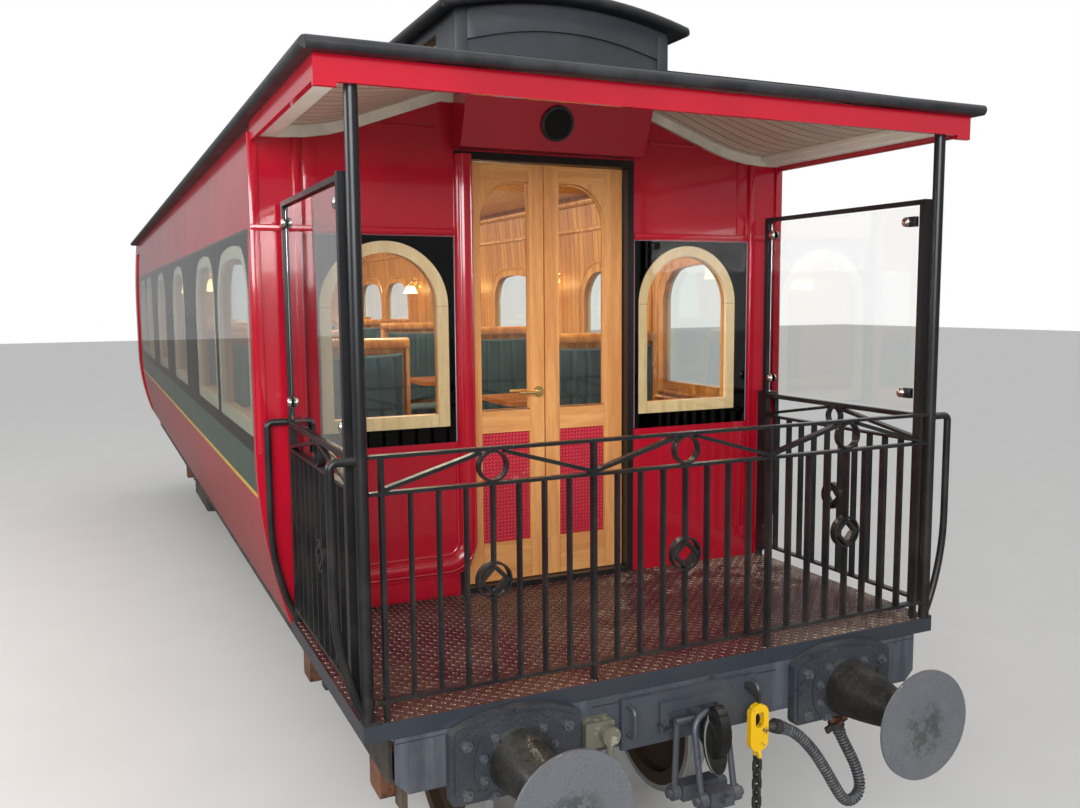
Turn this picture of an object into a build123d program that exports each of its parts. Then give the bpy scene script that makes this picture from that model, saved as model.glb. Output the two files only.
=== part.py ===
from build123d import *
import os
from math import atan2, cos, pi, radians, sin, sqrt, tan

# Railway passenger coach with an open balcony at one end and an enclosed vestibule at the other.
# Millimetres. +X is to the right seen from the balcony end, +Y runs along the coach away from
# the balcony and +Z is up. The origin is on the floor under the middle of the coach, where the
# wheel flanges stand. Heights written as h are above the top of the deck.

# Wheels and the height of the deck
tread_r = 360
flange_high = 28
wheel_z = tread_r + flange_high
deck_above_tread = 1100
deck_z = flange_high + deck_above_tread

# Lengths along the coach
balcony_l = 1200
end_panel_l = 1197
window_panel_l = 1093
pier_panel_l = 645
vestibule_l = 1200
panel_row = (
    # length, has a window
    (end_panel_l, True),
    (window_panel_l, True),
    (pier_panel_l, False),
    (window_panel_l, True),
    (pier_panel_l, False),
    (window_panel_l, True),
    (pier_panel_l, False),
    (window_panel_l, True),
    (end_panel_l, True),
)
saloon_l = sum(length for length, has_window in panel_row)
body_l = balcony_l + saloon_l + vestibule_l
post_y = -body_l / 2
front_y = post_y + balcony_l
rear_y = body_l / 2
partition_y = rear_y - vestibule_l

# Section of the body: a straight waist, a turned-in foot and a leaning top
body_half_w = 1395
foot_r = 2455
top_r = 8790
foot_h = -40
waist_h = 744
lean_h = 1300
side_t = 55
end_t = 50
partition_t = 40

# Roof: eave, flare and slope up to the clerestory
eave_proud = 5
eave_x = body_half_w + eave_proud
eave_h = 2146
roof_t = 40
roof_overhang = 80
flare = (
    # distance in from the eave, rise over the eave
    (0, 0),
    (150, 0),
    (255, 6),
    (360, 24),
    (470, 56),
)
slope_rise = 200
end_lift = 0.03
ceiling_t = 12
clerestory_x = 535
clerestory_t = 40
clerestory_in = 1000
clerestory_y = -post_y - clerestory_in
clerestory_high = 236
clerestory_eave = 65
clerestory_crown = 87
clerestory_roof_t = 36
clerestory_overhang = 70
toplight_l = 620
toplight_high = 130
toplight_drop = 37
toplight_count = 9
roof_rise = (*[(eave_x - inward, rise) for inward, rise in flare], (clerestory_x, slope_rise))
roof_top_h = eave_h + slope_rise + roof_t
clerestory_edge_h = roof_top_h + clerestory_high
clerestory_roof_x = clerestory_x + clerestory_eave
toplight_high_h = clerestory_edge_h - toplight_drop
toplight_low_h = toplight_high_h - toplight_high

# Windows
glass_t = 8
window_margin = 56
window_low_h = waist_h + 69
window_spring_h = 1362
window_corner_r = 286
window_crown = 12
window_top_h = window_spring_h + window_corner_r + window_crown
band_top_h = window_top_h + 40
frame_w = 58
frame_proud = 12
front_window_x = 803
front_window_half_w = 295
front_window_spring_h = 1370
front_window_top_h = front_window_spring_h + front_window_half_w
front_glass_in = front_window_x - front_window_half_w - 30
front_glass_out = front_window_x + front_window_half_w + 72
front_glass_low_h = window_low_h - 75
front_glass_high_h = front_window_top_h + 25

# Saloon end doors
gap = 5
meeting_gap = 8
swing_gap = 7
jamb_in = 438
jamb_w = 34
door_head_drop = 105
door_head_h = eave_h - door_head_drop
leaf_low_h = 30
leaf_t = 40
leaf_back = 45
meeting_stile = 76
outer_stile = 100
top_rail = 79
leaf_glass_low_h = 865
leaf_corner_r = 190
kick_low_h = 220
kick_high_h = 760
pane_t = 6
sill_h = 25
lever_h = 951

# Balcony ironwork
deck_in = 125
deck_half_w = body_half_w - deck_in
post_x = deck_half_w - 22
post_r = 22.5
bar_w = 10
bar_d = 30
rail_t = 12
bars_each_side = 12
bars_per_bay = 8
end_bar_gap = 66
bar_pitch = (post_x - end_bar_gap) / bars_each_side
rail_top_h = 900
rail_band = 122
rail_mid_h = rail_top_h - rail_band
rail_low_h = 73
ring_w = 8
diamond_h = 431
diamond_r = 65
square_share = 0.74
brace_w = 14.4
let_in = 2
grab_r = 15
grab_reach = 98
grab_bend_h = 450
grab_foot_x = post_x + 4
pad_r = 18
pad_t = 14
gate_x = post_x + 4
gate_stile_w = 50
gate_stile_d = 30
gate_front_gap = 55
stanchion_gap = 15
stanchion_w = 40
stanchion_t = 14
screen_low_h = rail_top_h - 10
screen_high_h = 1812

# Deck, fascia and underframe
deck_t = 62
plate_t = 10
fascia_in = 27.5
fascia_half_w = eave_x - fascia_in
fascia_y = 43
fascia_t = 20
fascia_high = 81
fascia_low_h = eave_h - fascia_high
beam_in = 105
beam_half_w = deck_half_w - beam_in
beam_high_h = -62
beam_low_h = -265
beam_d = 90
web_t = 14
headstock_y = 30

# Bogies
bogie_y = 3700
wheelbase = 1500
gauge_in = 505
tyre_w = 127
flange_w = 32
axle_r = 70
journal_r = 48
journal_x = 860

# Buffers and draw gear
buffer_x = 735
buffer_h = -195
buffer_head_r = 210
buffer_reach = 478

os.makedirs("parts", exist_ok=True)


def across(y):
    """Plane across the coach at y: local x to the right, local y the height above the deck."""
    return Plane(origin=(0, y, deck_z), x_dir=(1, 0, 0), z_dir=(0, -1, 0))


def along(x):
    """Plane along the coach at x: local x towards the rear, local y the height above the deck."""
    return Plane(origin=(x, 0, deck_z), x_dir=(0, 1, 0), z_dir=(1, 0, 0))


def level(h):
    """Level plane at a height above the deck."""
    return Plane.XY.offset(deck_z + h)


def side_x(h, depth=0):
    """Half-width of the body at height h, less a depth under the outside."""
    if h < waist_h:
        r = foot_r - depth
        return body_half_w - foot_r + sqrt(r * r - (waist_h - h) ** 2)
    if h > lean_h:
        r = top_r - depth
        return body_half_w - top_r + sqrt(r * r - (h - lean_h) ** 2)
    return body_half_w - depth


def draw_side(depth, low, high, side):
    """Draw the curve of the body's side at a depth under the outside."""
    levels = [low] + [h for h in (waist_h, lean_h) if low < h < high] + [high]
    for a, b in zip(levels, levels[1:]):
        middle = (a + b) / 2
        ends = [(side * side_x(h, depth), h) for h in (a, middle, b)]
        if waist_h <= a and b <= lean_h:
            Line(ends[0], ends[2])
        else:
            ThreePointArc(*ends)


def draw_grab_rail(side, start_x):
    """Draw a grab rail's line: out from its post, down, and bowed in to the edge of the deck."""
    grab_out = grab_foot_x + grab_reach
    drop = grab_bend_h - pad_t / 2
    bow_r = (grab_reach ** 2 + drop ** 2) / (2 * grab_reach)
    middle = grab_out - bow_r + sqrt(bow_r ** 2 - (drop / 2) ** 2)
    arm_h = rail_top_h - grab_r
    FilletPolyline((side * start_x, arm_h), (side * grab_out, arm_h), (side * grab_out, grab_bend_h),
                   radius=grab_r * 1.6)
    ThreePointArc((side * grab_out, grab_bend_h), (side * middle, grab_bend_h - drop / 2),
                  (side * grab_foot_x, pad_t / 2))


def draw_skin(outer, inner, low, high, side):
    """Draw one layer of the body's side, between two depths and two heights."""
    with BuildLine() as outline:
        draw_side(outer, low, high, side)
        draw_side(inner, low, high, side)
        for h in (low, high):
            Line((side * side_x(h, outer), h), (side * side_x(h, inner), h))
    make_face(outline.edges())


def draw_body(depth, low, lift=1.0):
    """Draw the whole section of the body up to the roof's underside, with its rise scaled by lift."""
    with BuildLine() as outline:
        for side in (-1, 1):
            draw_side(depth, low, eave_h, side)
        Line((-side_x(low, depth), low), (side_x(low, depth), low))
        right = [(side_x(eave_h, depth), eave_h)]
        right += [(x, eave_h + lift * rise) for x, rise in roof_rise if x < right[0][0]]
        Polyline(*[(-x, h) for x, h in right], *reversed(right))
    make_face(outline.edges())


def roof_lift(y):
    """How much of the roof's rise is left at y, between the clerestory's end and the roof's end."""
    past = max(abs(y) - clerestory_y, 0)
    return 1 - (1 - end_lift) * past / (-post_y + roof_overhang - clerestory_y)


def draw_roof(lift, low, high):
    """Draw a layer of the lower roof between two heights over its underside."""
    right = [(x, eave_h + lift * rise) for x, rise in roof_rise]
    line = [(-x, h) for x, h in right] + list(reversed(right))
    with BuildLine() as outline:
        Polyline(*[(x, h + low) for x, h in line], *[(x, h + high) for x, h in reversed(line)], close=True)
    make_face(outline.edges())


def draw_arch(centre, half_w, low, spring, top, corner_r):
    """Draw a window's outline: straight sides, round corners and a slightly crowned top."""
    shoulder = min(spring + corner_r, top)
    rise = shoulder - spring
    turn = corner_r * (1 - sin(radians(45)))
    with BuildLine() as outline:
        Polyline((centre - half_w, spring), (centre - half_w, low), (centre + half_w, low),
                 (centre + half_w, spring))
        for side in (-1, 1):
            edge = centre + side * half_w
            ThreePointArc((edge, spring), (edge - side * turn, spring + rise * sin(radians(45))),
                          (edge - side * corner_r, shoulder))
        if half_w > corner_r:
            ThreePointArc((centre - half_w + corner_r, shoulder), (centre, top),
                          (centre + half_w - corner_r, shoulder))
    make_face(outline.edges())


# Panels and windows along a side, from front to rear: (centre y, half-width) of each window
side_windows = []
panel_joints = [front_y]
for panel_l, has_window in panel_row:
    start = panel_joints[-1]
    if has_window:
        side_windows.append((start + panel_l / 2, panel_l / 2 - window_margin))
    panel_joints.append(start + panel_l)

# Places that several pieces share
frame_head_h = door_head_h + jamb_w
leaf_front = front_y + leaf_back
leaf_rear = leaf_front + leaf_t
wall_rear = front_y + end_t
side_rear = rear_y - end_t
roof_front = post_y - roof_overhang
door_half_w = 320
side_door_y = (partition_y + partition_t / 2 + side_rear) / 2
side_leaf_gap = 4
side_leaf_x = side_x(0, side_t) - side_leaf_gap
side_head_drop = 146
side_head_h = eave_h - side_head_drop
side_jamb_w = 36
joint_gap = 4

# Underframe: channel sole bars, centre sills, cross bearers and the bolsters over the bogies
sill_x = 230
sill_w = 75
bearer_w = 80
bearer_low_h = -212
bearer_ys = (-5100, -2400, -1200, 0, 1200, 2400, 5100)
bolster_l = 300
bolster_half_w = beam_half_w - sill_w
pivot_r = 150
pivot_gap = 5
pivot_drop = 45


def draw_channel(back, toe, low, high, thick):
    """Draw a channel section with its web at back and its flanges reaching to toe."""
    inward = thick if toe > back else -thick
    with BuildLine() as outline:
        Polyline((back, low), (toe, low), (toe, low + thick), (back + inward, low + thick),
                 (back + inward, high - thick), (toe, high - thick), (toe, high), (back, high),
                 close=True)
    make_face(outline.edges())


frame_end = -post_y + headstock_y - beam_d
with BuildPart() as underframe:
    with BuildSketch(across(-frame_end)):
        for side in (-1, 1):
            draw_channel(side * beam_half_w, side * (beam_half_w - sill_w), beam_low_h, beam_high_h, web_t)
            draw_channel(side * sill_x, side * (sill_x + sill_w), beam_low_h, beam_high_h, web_t)
    extrude(amount=-2 * frame_end)
    for y in bearer_ys:
        with BuildSketch(along(-beam_half_w + web_t)):
            with Locations((y, (bearer_low_h + beam_high_h) / 2)):
                Rectangle(bearer_w, beam_high_h - bearer_low_h)
        extrude(amount=2 * (beam_half_w - web_t))
    for y in (-bogie_y, bogie_y):
        with BuildSketch(level(beam_low_h)):
            with Locations((0, y)):
                Rectangle(2 * bolster_half_w, bolster_l)
        extrude(amount=beam_high_h - beam_low_h)
        with BuildSketch(level(beam_low_h)):
            with Locations((0, y)):
                Circle(pivot_r)
        extrude(amount=-pivot_drop)
underframe.part.label = "underframe"
export_step(underframe.part, "parts/underframe.step")

# Headstocks: channel beams across each end, chamfered at the lower corners
corner_cut = 45
with BuildPart() as headstocks:
    for end in (-1, 1):
        face_y = end * (-post_y + headstock_y)
        with BuildSketch(along(-beam_half_w)):
            draw_channel(face_y, face_y - end * beam_d, beam_low_h, beam_high_h, web_t)
        extrude(amount=2 * beam_half_w)
    with BuildSketch(across(-post_y + headstock_y + 1)):
        for side in (-1, 1):
            with BuildLine():
                Polyline((side * (beam_half_w + 1), beam_low_h - 1),
                         (side * (beam_half_w - corner_cut), beam_low_h - 1),
                         (side * (beam_half_w + 1), beam_low_h + corner_cut), close=True)
            make_face()
    extrude(amount=2 * (-post_y + headstock_y + 1), mode=Mode.SUBTRACT)
headstocks.part.label = "headstocks"
export_step(headstocks.part, "parts/headstocks.step")

# Floor of the saloon and vestibule, bedded on the underframe and shaped to the sides
with BuildPart() as floor:
    with BuildSketch(across(wall_rear)):
        with BuildLine():
            right = [(beam_half_w, beam_high_h), (side_x(foot_h, side_t), foot_h), (side_x(0, side_t), 0)]
            Polyline(*right, *[(-x, h) for x, h in reversed(right)], close=True)
        make_face()
    extrude(amount=-(side_rear - wall_rear))
floor.part.label = "floor"
export_step(floor.part, "parts/floor.step")

# Deck plate of the balcony: a folded tray with ribs underneath
deck_lip = 4
skirt_t = 12
rib_count = 3
deck_front = post_y - headstock_y + deck_lip
with BuildPart() as deck_plate:
    with BuildSketch(level(0)):
        with Locations((0, (deck_front + front_y) / 2)):
            Rectangle(2 * deck_half_w, front_y - deck_front)
    extrude(amount=-deck_t)
    pocket_l = (front_y - deck_front - skirt_t * (rib_count + 2)) / (rib_count + 1)
    with BuildSketch(level(-deck_t)):
        for n in range(rib_count + 1):
            with Locations((0, deck_front + skirt_t + pocket_l / 2 + n * (pocket_l + skirt_t))):
                Rectangle(2 * (deck_half_w - skirt_t), pocket_l)
    extrude(amount=deck_t - plate_t, mode=Mode.SUBTRACT)
deck_plate.part.label = "deck_plate"
export_step(deck_plate.part, "parts/deck_plate.step")

# Sides: one curved wall each, with arched windows behind a rebate for the flush glass,
# and a doorway into the vestibule
for side, name in ((-1, "side_left"), (1, "side_right")):
    with BuildPart() as body_side:
        with BuildSketch(across(wall_rear)):
            draw_skin(0, side_t, foot_h, eave_h, side)
        extrude(amount=-(side_rear - wall_rear))
        with BuildSketch(across(wall_rear)):
            draw_skin(-1, glass_t, waist_h, band_top_h, side)
        extrude(amount=-(partition_y - wall_rear), mode=Mode.SUBTRACT)
        with BuildSketch(along(0)):
            for centre, half_w in side_windows:
                draw_arch(centre, half_w, window_low_h, window_spring_h, window_top_h, window_corner_r)
            with Locations((side_door_y, (side_head_h + side_jamb_w) / 2)):
                Rectangle(2 * (door_half_w + swing_gap + side_jamb_w), side_head_h + side_jamb_w)
        extrude(amount=side * eave_x, mode=Mode.SUBTRACT)
    body_side.part.label = name
    export_step(body_side.part, f"parts/{name}.step")

# End wall of the saloon with the double doorway and two arched windows behind flush glass
with BuildPart() as end_wall_front:
    with BuildSketch(across(front_y)):
        draw_body(0, foot_h)
    extrude(amount=-end_t)
    with BuildSketch(across(front_y)):
        for side in (-1, 1):
            with Locations((side * (front_glass_in + front_glass_out) / 2,
                            (front_glass_low_h + front_glass_high_h) / 2)):
                Rectangle(front_glass_out - front_glass_in, front_glass_high_h - front_glass_low_h)
    extrude(amount=-glass_t, mode=Mode.SUBTRACT)
    with BuildSketch(across(front_y)):
        for side in (-1, 1):
            draw_arch(side * front_window_x, front_window_half_w, window_low_h, front_window_spring_h,
                      front_window_top_h, front_window_half_w)
        with Locations((0, frame_head_h / 2)):
            Rectangle(2 * (jamb_in + jamb_w), frame_head_h)
    extrude(amount=-end_t, mode=Mode.SUBTRACT)
end_wall_front.part.label = "end_wall_front"
export_step(end_wall_front.part, "parts/end_wall_front.step")

# Rear end wall with the gangway doorway, and the partition between saloon and vestibule
rear_head_drop = 156
rear_head_h = eave_h - rear_head_drop
rear_lift = roof_lift(rear_y)
with BuildPart() as end_wall_rear:
    with BuildSketch(across(side_rear)):
        draw_body(0, foot_h, rear_lift)
        with Locations((0, rear_head_h / 2)):
            Rectangle(2 * (door_half_w + swing_gap), rear_head_h, mode=Mode.SUBTRACT)
    extrude(amount=-end_t)
end_wall_rear.part.label = "end_wall_rear"
export_step(end_wall_rear.part, "parts/end_wall_rear.step")

with BuildPart() as partition:
    with BuildSketch(across(partition_y - partition_t / 2)):
        draw_body(side_t, 0)
        with Locations((0, rear_head_h / 2)):
            Rectangle(2 * door_half_w, rear_head_h, mode=Mode.SUBTRACT)
    extrude(amount=-partition_t)
partition.part.label = "partition"
export_step(partition.part, "parts/partition.step")

# Lower roof: flared shell, open under the clerestory and brought down flat to each end
with BuildPart() as roof_lower:
    with BuildSketch(across(-clerestory_y)):
        draw_roof(1, 0, roof_t)
    extrude(amount=-2 * clerestory_y)
    for end in (-1, 1):
        with BuildSketch(across(end * clerestory_y)):
            draw_roof(1, 0, roof_t)
        with BuildSketch(across(-end * roof_front)):
            draw_roof(end_lift, 0, roof_t)
        loft(ruled=True)
    with BuildSketch(level(0)):
        Rectangle(2 * (clerestory_x - clerestory_t), 2 * (clerestory_y - clerestory_t))
    extrude(amount=2 * clerestory_edge_h, mode=Mode.SUBTRACT)
roof_lower.part.label = "roof_lower"
export_step(roof_lower.part, "parts/roof_lower.step")

# Ceiling boards of the balcony, with a trim band where they meet the end wall
trim_t = 20
cut_past = 1
trim_deep = 48
box_half_w = 475
box_high_h = eave_h + slope_rise - ceiling_t
with BuildPart() as canopy_ceiling:
    with BuildSketch(across(-clerestory_y)):
        draw_roof(1, -ceiling_t, 0)
    with BuildSketch(across(post_y)):
        draw_roof(roof_lift(post_y), -ceiling_t, 0)
    loft(ruled=True)
    with BuildSketch(across(-clerestory_y)):
        draw_roof(1, -ceiling_t, 0)
    extrude(amount=-(front_y + clerestory_y))
    with BuildSketch(across(front_y)):
        draw_roof(1, -ceiling_t - trim_deep, 0)
        Rectangle(2 * box_half_w, 2 * (box_high_h + ceiling_t - 1), mode=Mode.SUBTRACT)
    extrude(amount=trim_t)
    with BuildSketch(across(post_y - cut_past)):
        for side in (-1, 1):
            with Locations((side * (fascia_half_w - fascia_t + eave_x), eave_h)):
                Rectangle(2 * eave_x, 4 * trim_deep)
    extrude(amount=-balcony_l - 2 * cut_past, mode=Mode.SUBTRACT)
canopy_ceiling.part.label = "canopy_ceiling"
export_step(canopy_ceiling.part, "parts/canopy_ceiling.step")

# Fascia boards round the front and both sides of the canopy, with a lug at each front corner
lug_w = 72
lug_drop = 15
lug_low_h = fascia_low_h - lug_drop
with BuildPart() as roof_fascia:
    with BuildSketch(across(post_y - fascia_y)):
        with Locations((0, (fascia_low_h + eave_h) / 2)):
            Rectangle(2 * fascia_half_w, eave_h - fascia_low_h)
        for side in (-1, 1):
            with Locations((side * (fascia_half_w - lug_w / 2), (lug_low_h + eave_h) / 2)):
                Rectangle(lug_w, eave_h - lug_low_h)
    extrude(amount=-fascia_t)
    with BuildSketch(level(fascia_low_h)):
        for side in (-1, 1):
            with Locations((side * (fascia_half_w - fascia_t / 2), (post_y - fascia_y + front_y) / 2)):
                Rectangle(fascia_t, front_y - post_y + fascia_y)
    extrude(amount=eave_h - fascia_low_h)
roof_fascia.part.label = "roof_fascia"
export_step(roof_fascia.part, "parts/roof_fascia.step")

# Clerestory: low walls with a row of top lights, under an arched roof with a rolled edge
crown_r = (clerestory_roof_x ** 2 + clerestory_crown ** 2) / (2 * clerestory_crown)


def crown_h(x, drop=0):
    """Height of the clerestory roof's underside at x, less a drop."""
    centre = clerestory_edge_h + clerestory_crown - crown_r
    return centre + sqrt(crown_r ** 2 - x ** 2) - drop


toplight_pitch = 2 * (clerestory_y - clerestory_t) / toplight_count
with BuildPart() as clerestory_walls:
    with BuildSketch(across(-clerestory_y)):
        with BuildLine():
            ends = [(side * clerestory_x, crown_h(clerestory_x)) for side in (-1, 1)]
            Polyline(ends[0], (-clerestory_x, roof_top_h), (clerestory_x, roof_top_h), ends[1])
            ThreePointArc(ends[0], (0, crown_h(0)), ends[1])
        make_face()
    extrude(amount=-2 * clerestory_y)
    with BuildSketch(level(0)):
        Rectangle(2 * (clerestory_x - clerestory_t), 2 * (clerestory_y - clerestory_t))
    extrude(amount=2 * clerestory_edge_h, mode=Mode.SUBTRACT)
    with BuildSketch(along(-clerestory_x)):
        for n in range(toplight_count):
            with Locations((-clerestory_y + clerestory_t + (n + 0.5) * toplight_pitch,
                            (toplight_low_h + toplight_high_h) / 2)):
                Rectangle(toplight_l, toplight_high_h - toplight_low_h)
    extrude(amount=2 * clerestory_x, mode=Mode.SUBTRACT)
clerestory_walls.part.label = "clerestory_walls"
export_step(clerestory_walls.part, "parts/clerestory_walls.step")

with BuildPart() as clerestory_roof:
    with BuildSketch(across(-clerestory_y - clerestory_overhang)):
        with BuildLine():
            ends = [(side * clerestory_roof_x, clerestory_edge_h) for side in (-1, 1)]
            tops = [(x, h + clerestory_roof_t) for x, h in ends]
            ThreePointArc(ends[0], (0, crown_h(0)), ends[1])
            ThreePointArc(tops[0], (0, crown_h(0, -clerestory_roof_t)), tops[1])
            Line(ends[0], tops[0])
            Line(ends[1], tops[1])
        make_face()
    extrude(amount=-2 * (clerestory_y + clerestory_overhang))
clerestory_roof.part.label = "clerestory_roof"
export_step(clerestory_roof.part, "parts/clerestory_roof.step")

# Fixed glass: flush panes along the sides and beside the doors, and the top lights
with BuildPart() as window_glass:
    for side in (-1, 1):
        for a, b in zip(panel_joints, panel_joints[1:]):
            begin = max(a, wall_rear) + joint_gap / 2
            with BuildSketch(across(begin)):
                draw_skin(0, glass_t, waist_h, band_top_h, side)
            extrude(amount=-(b - joint_gap / 2 - begin))
    with BuildSketch(across(front_y)):
        for side in (-1, 1):
            with Locations((side * (front_glass_in + front_glass_out) / 2,
                            (front_glass_low_h + front_glass_high_h) / 2)):
                Rectangle(front_glass_out - front_glass_in, front_glass_high_h - front_glass_low_h)
    extrude(amount=-glass_t)
    for side in (-1, 1):
        with BuildSketch(along(side * (clerestory_x - (clerestory_t - pane_t) / 2))):
            for n in range(toplight_count):
                with Locations((-clerestory_y + clerestory_t + (n + 0.5) * toplight_pitch,
                                (toplight_low_h + toplight_high_h) / 2)):
                    Rectangle(toplight_l, toplight_high_h - toplight_low_h)
        extrude(amount=-side * pane_t)
window_glass.part.label = "window_glass"
export_step(window_glass.part, "parts/window_glass.step")

# Arched frames that line the window openings behind the glass, flat-faced above and below the lean
frame_clear = 1
frame_back = side_t + frame_proud
with BuildPart() as side_window_frames:
    with BuildSketch(across(wall_rear)):
        for side in (-1, 1):
            levels = (window_low_h, lean_h, window_top_h)
            with BuildLine() as outline:
                Polyline(*[(side * (side_x(h) - glass_t - frame_clear), h) for h in levels],
                         *[(side * (side_x(h) - frame_back), h) for h in reversed(levels)], close=True)
            make_face(outline.edges())
    extrude(amount=-(partition_y - wall_rear))
    with BuildSketch(along(-body_half_w)):
        for centre, half_w in side_windows:
            draw_arch(centre, half_w, window_low_h, window_spring_h, window_top_h, window_corner_r)
    extrude(amount=2 * body_half_w, mode=Mode.INTERSECT)
    with BuildSketch(along(-body_half_w)):
        for centre, half_w in side_windows:
            draw_arch(centre, half_w - frame_w, window_low_h + frame_w, window_spring_h,
                      window_top_h - frame_w, window_corner_r - frame_w)
    extrude(amount=2 * body_half_w, mode=Mode.SUBTRACT)
side_window_frames.part.label = "side_window_frames"
export_step(side_window_frames.part, "parts/side_window_frames.step")

front_frame_w = 52
with BuildPart() as front_window_frames:
    with BuildSketch(across(front_y + glass_t + frame_clear)):
        for side in (-1, 1):
            draw_arch(side * front_window_x, front_window_half_w, window_low_h, front_window_spring_h,
                      front_window_top_h, front_window_half_w)
    extrude(amount=-(end_t + frame_proud - glass_t - frame_clear))
    with BuildSketch(across(front_y)):
        for side in (-1, 1):
            inner = front_window_half_w - front_frame_w
            draw_arch(side * front_window_x, inner, window_low_h + frame_w, front_window_spring_h,
                      front_window_spring_h + inner, inner)
    extrude(amount=-2 * end_t, mode=Mode.SUBTRACT)
front_window_frames.part.label = "front_window_frames"
export_step(front_window_frames.part, "parts/front_window_frames.step")

# Door frame of the saloon: jambs, head and sill as deep as wall and leaf together
frame_face = 6
with BuildPart() as door_frame:
    with BuildSketch(across(front_y - frame_face)):
        with Locations((0, frame_head_h / 2)):
            Rectangle(2 * (jamb_in + jamb_w), frame_head_h)
        with Locations((0, (sill_h + door_head_h) / 2)):
            Rectangle(2 * jamb_in, door_head_h - sill_h, mode=Mode.SUBTRACT)
    extrude(amount=-(leaf_rear - front_y + frame_face))
door_frame.part.label = "door_frame"
export_step(door_frame.part, "parts/door_frame.step")

# Two glazed leaves of pine, each with a sunk lower panel, and their panes
leaf_out = jamb_in - gap
leaf_in = meeting_gap / 2
leaf_high_h = door_head_h - gap
leaf_glass_in = leaf_in + meeting_stile
leaf_glass_out = leaf_out - outer_stile
leaf_glass_high_h = leaf_high_h - top_rail
panel_sink = 13


def draw_leaf_light(side, spread=0):
    """Draw the tall light of a leaf, with its outer top corner rounded."""
    left, right = leaf_glass_in - spread, leaf_glass_out + spread
    low, high = leaf_glass_low_h - spread, leaf_glass_high_h + spread
    r = leaf_corner_r + spread
    mid = r * (1 - sin(radians(45)))
    with BuildLine() as outline:
        Polyline((side * right, high - r), (side * right, low), (side * left, low),
                 (side * left, high), (side * (right - r), high))
        ThreePointArc((side * (right - r), high), (side * (right - mid), high - mid),
                      (side * right, high - r))
    make_face(outline.edges())


for side, name in ((-1, "door_left"), (1, "door_right")):
    with BuildPart() as leaf:
        with BuildSketch(across(leaf_front)):
            with Locations((side * (leaf_in + leaf_out) / 2, (leaf_low_h + leaf_high_h) / 2)):
                Rectangle(leaf_out - leaf_in, leaf_high_h - leaf_low_h)
        extrude(amount=-leaf_t)
        with BuildSketch(across(leaf_front)):
            draw_leaf_light(side)
        extrude(amount=-leaf_t, mode=Mode.SUBTRACT)
        for face in (leaf_front, leaf_rear - panel_sink):
            with BuildSketch(across(face)):
                with Locations((side * (leaf_glass_in + leaf_glass_out) / 2, (kick_low_h + kick_high_h) / 2)):
                    Rectangle(leaf_glass_out - leaf_glass_in, kick_high_h - kick_low_h)
            extrude(amount=-panel_sink, mode=Mode.SUBTRACT)
    leaf.part.label = name
    export_step(leaf.part, f"parts/{name}.step")

for side, name in ((-1, "door_glass_left"), (1, "door_glass_right")):
    with BuildPart() as pane:
        with BuildSketch(across((leaf_front + leaf_rear - pane_t) / 2)):
            draw_leaf_light(side)
        extrude(amount=-pane_t)
    pane.part.label = name
    export_step(pane.part, f"parts/{name}.step")

# Lever handle on the left leaf: a rosette and a lever on each face, on the meeting stile
rosette_r = 27
rosette_t = 8
lever_x = -38
lever_l = 118
lever_r = 8
lever_stand = 48
with BuildPart() as door_handle:
    for face, out in ((leaf_front, -1), (leaf_rear, 1)):
        with BuildSketch(across(face)):
            with Locations((lever_x, lever_h)):
                Circle(rosette_r)
        extrude(amount=-out * rosette_t)
        with BuildSketch(across(face)):
            with Locations((lever_x, lever_h)):
                Circle(lever_r)
        extrude(amount=-out * lever_stand)
        with BuildLine():
            path = Polyline((lever_x, face + out * (lever_stand - lever_r), deck_z + lever_h),
                            (lever_x - lever_l, face + out * (lever_stand - lever_r), deck_z + lever_h))
        with BuildSketch(Plane(origin=path @ 0, z_dir=(-1, 0, 0))):
            Circle(lever_r)
        sweep(path=path)
door_handle.part.label = "door_handle"
export_step(door_handle.part, "parts/door_handle.step")

# Half-round pillar beside the left jamb, turned outwards at its foot into the plinth of the wall
pillar_x = -431
pillar_r = 45
plinth_t = 22
plinth_high_h = 160
plinth_low_h = 12
pillar_top_h = fascia_low_h - 5
plinth_end_x = -grab_foot_x + pad_r + gap
with BuildPart() as door_pillar:
    with BuildSketch(level(plinth_low_h)):
        with Locations((pillar_x, front_y)):
            Circle(pillar_r)
        with Locations((pillar_x, front_y + 2 * pillar_r)):
            Rectangle(4 * pillar_r, 4 * pillar_r, mode=Mode.SUBTRACT)
    extrude(amount=pillar_top_h - plinth_low_h)
    with BuildSketch(across(front_y)):
        with BuildLine():
            Polyline((pillar_x, plinth_low_h), (plinth_end_x, plinth_low_h), (plinth_end_x, plinth_high_h),
                     (pillar_x, plinth_high_h), close=True)
        make_face()
    extrude(amount=plinth_t)
    with BuildSketch(across(front_y)):
        with Locations((0, frame_head_h / 2)):
            Rectangle(2 * (jamb_in + jamb_w), frame_head_h)
    extrude(amount=frame_face, mode=Mode.SUBTRACT)
door_pillar.part.label = "door_pillar"
export_step(door_pillar.part, "parts/door_pillar.step")

# Box over the doors, leaning outwards, with a round grille in its face
box_low_h = frame_head_h + frame_face
box_low_out = 100
box_high_out = 200
grille_x = -20
grille_r = 80
grille_rim = 14
grille_t = 10
slat_w = 6
slat_count = 7
with BuildPart() as speaker_box:
    with BuildSketch(along(-box_half_w)):
        with BuildLine():
            Polyline((front_y, box_low_h), (front_y - box_low_out, box_low_h),
                     (front_y - box_high_out, box_high_h), (front_y, box_high_h), close=True)
        make_face()
    extrude(amount=2 * box_half_w)
speaker_box.part.label = "speaker_box"
export_step(speaker_box.part, "parts/speaker_box.step")

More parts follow.
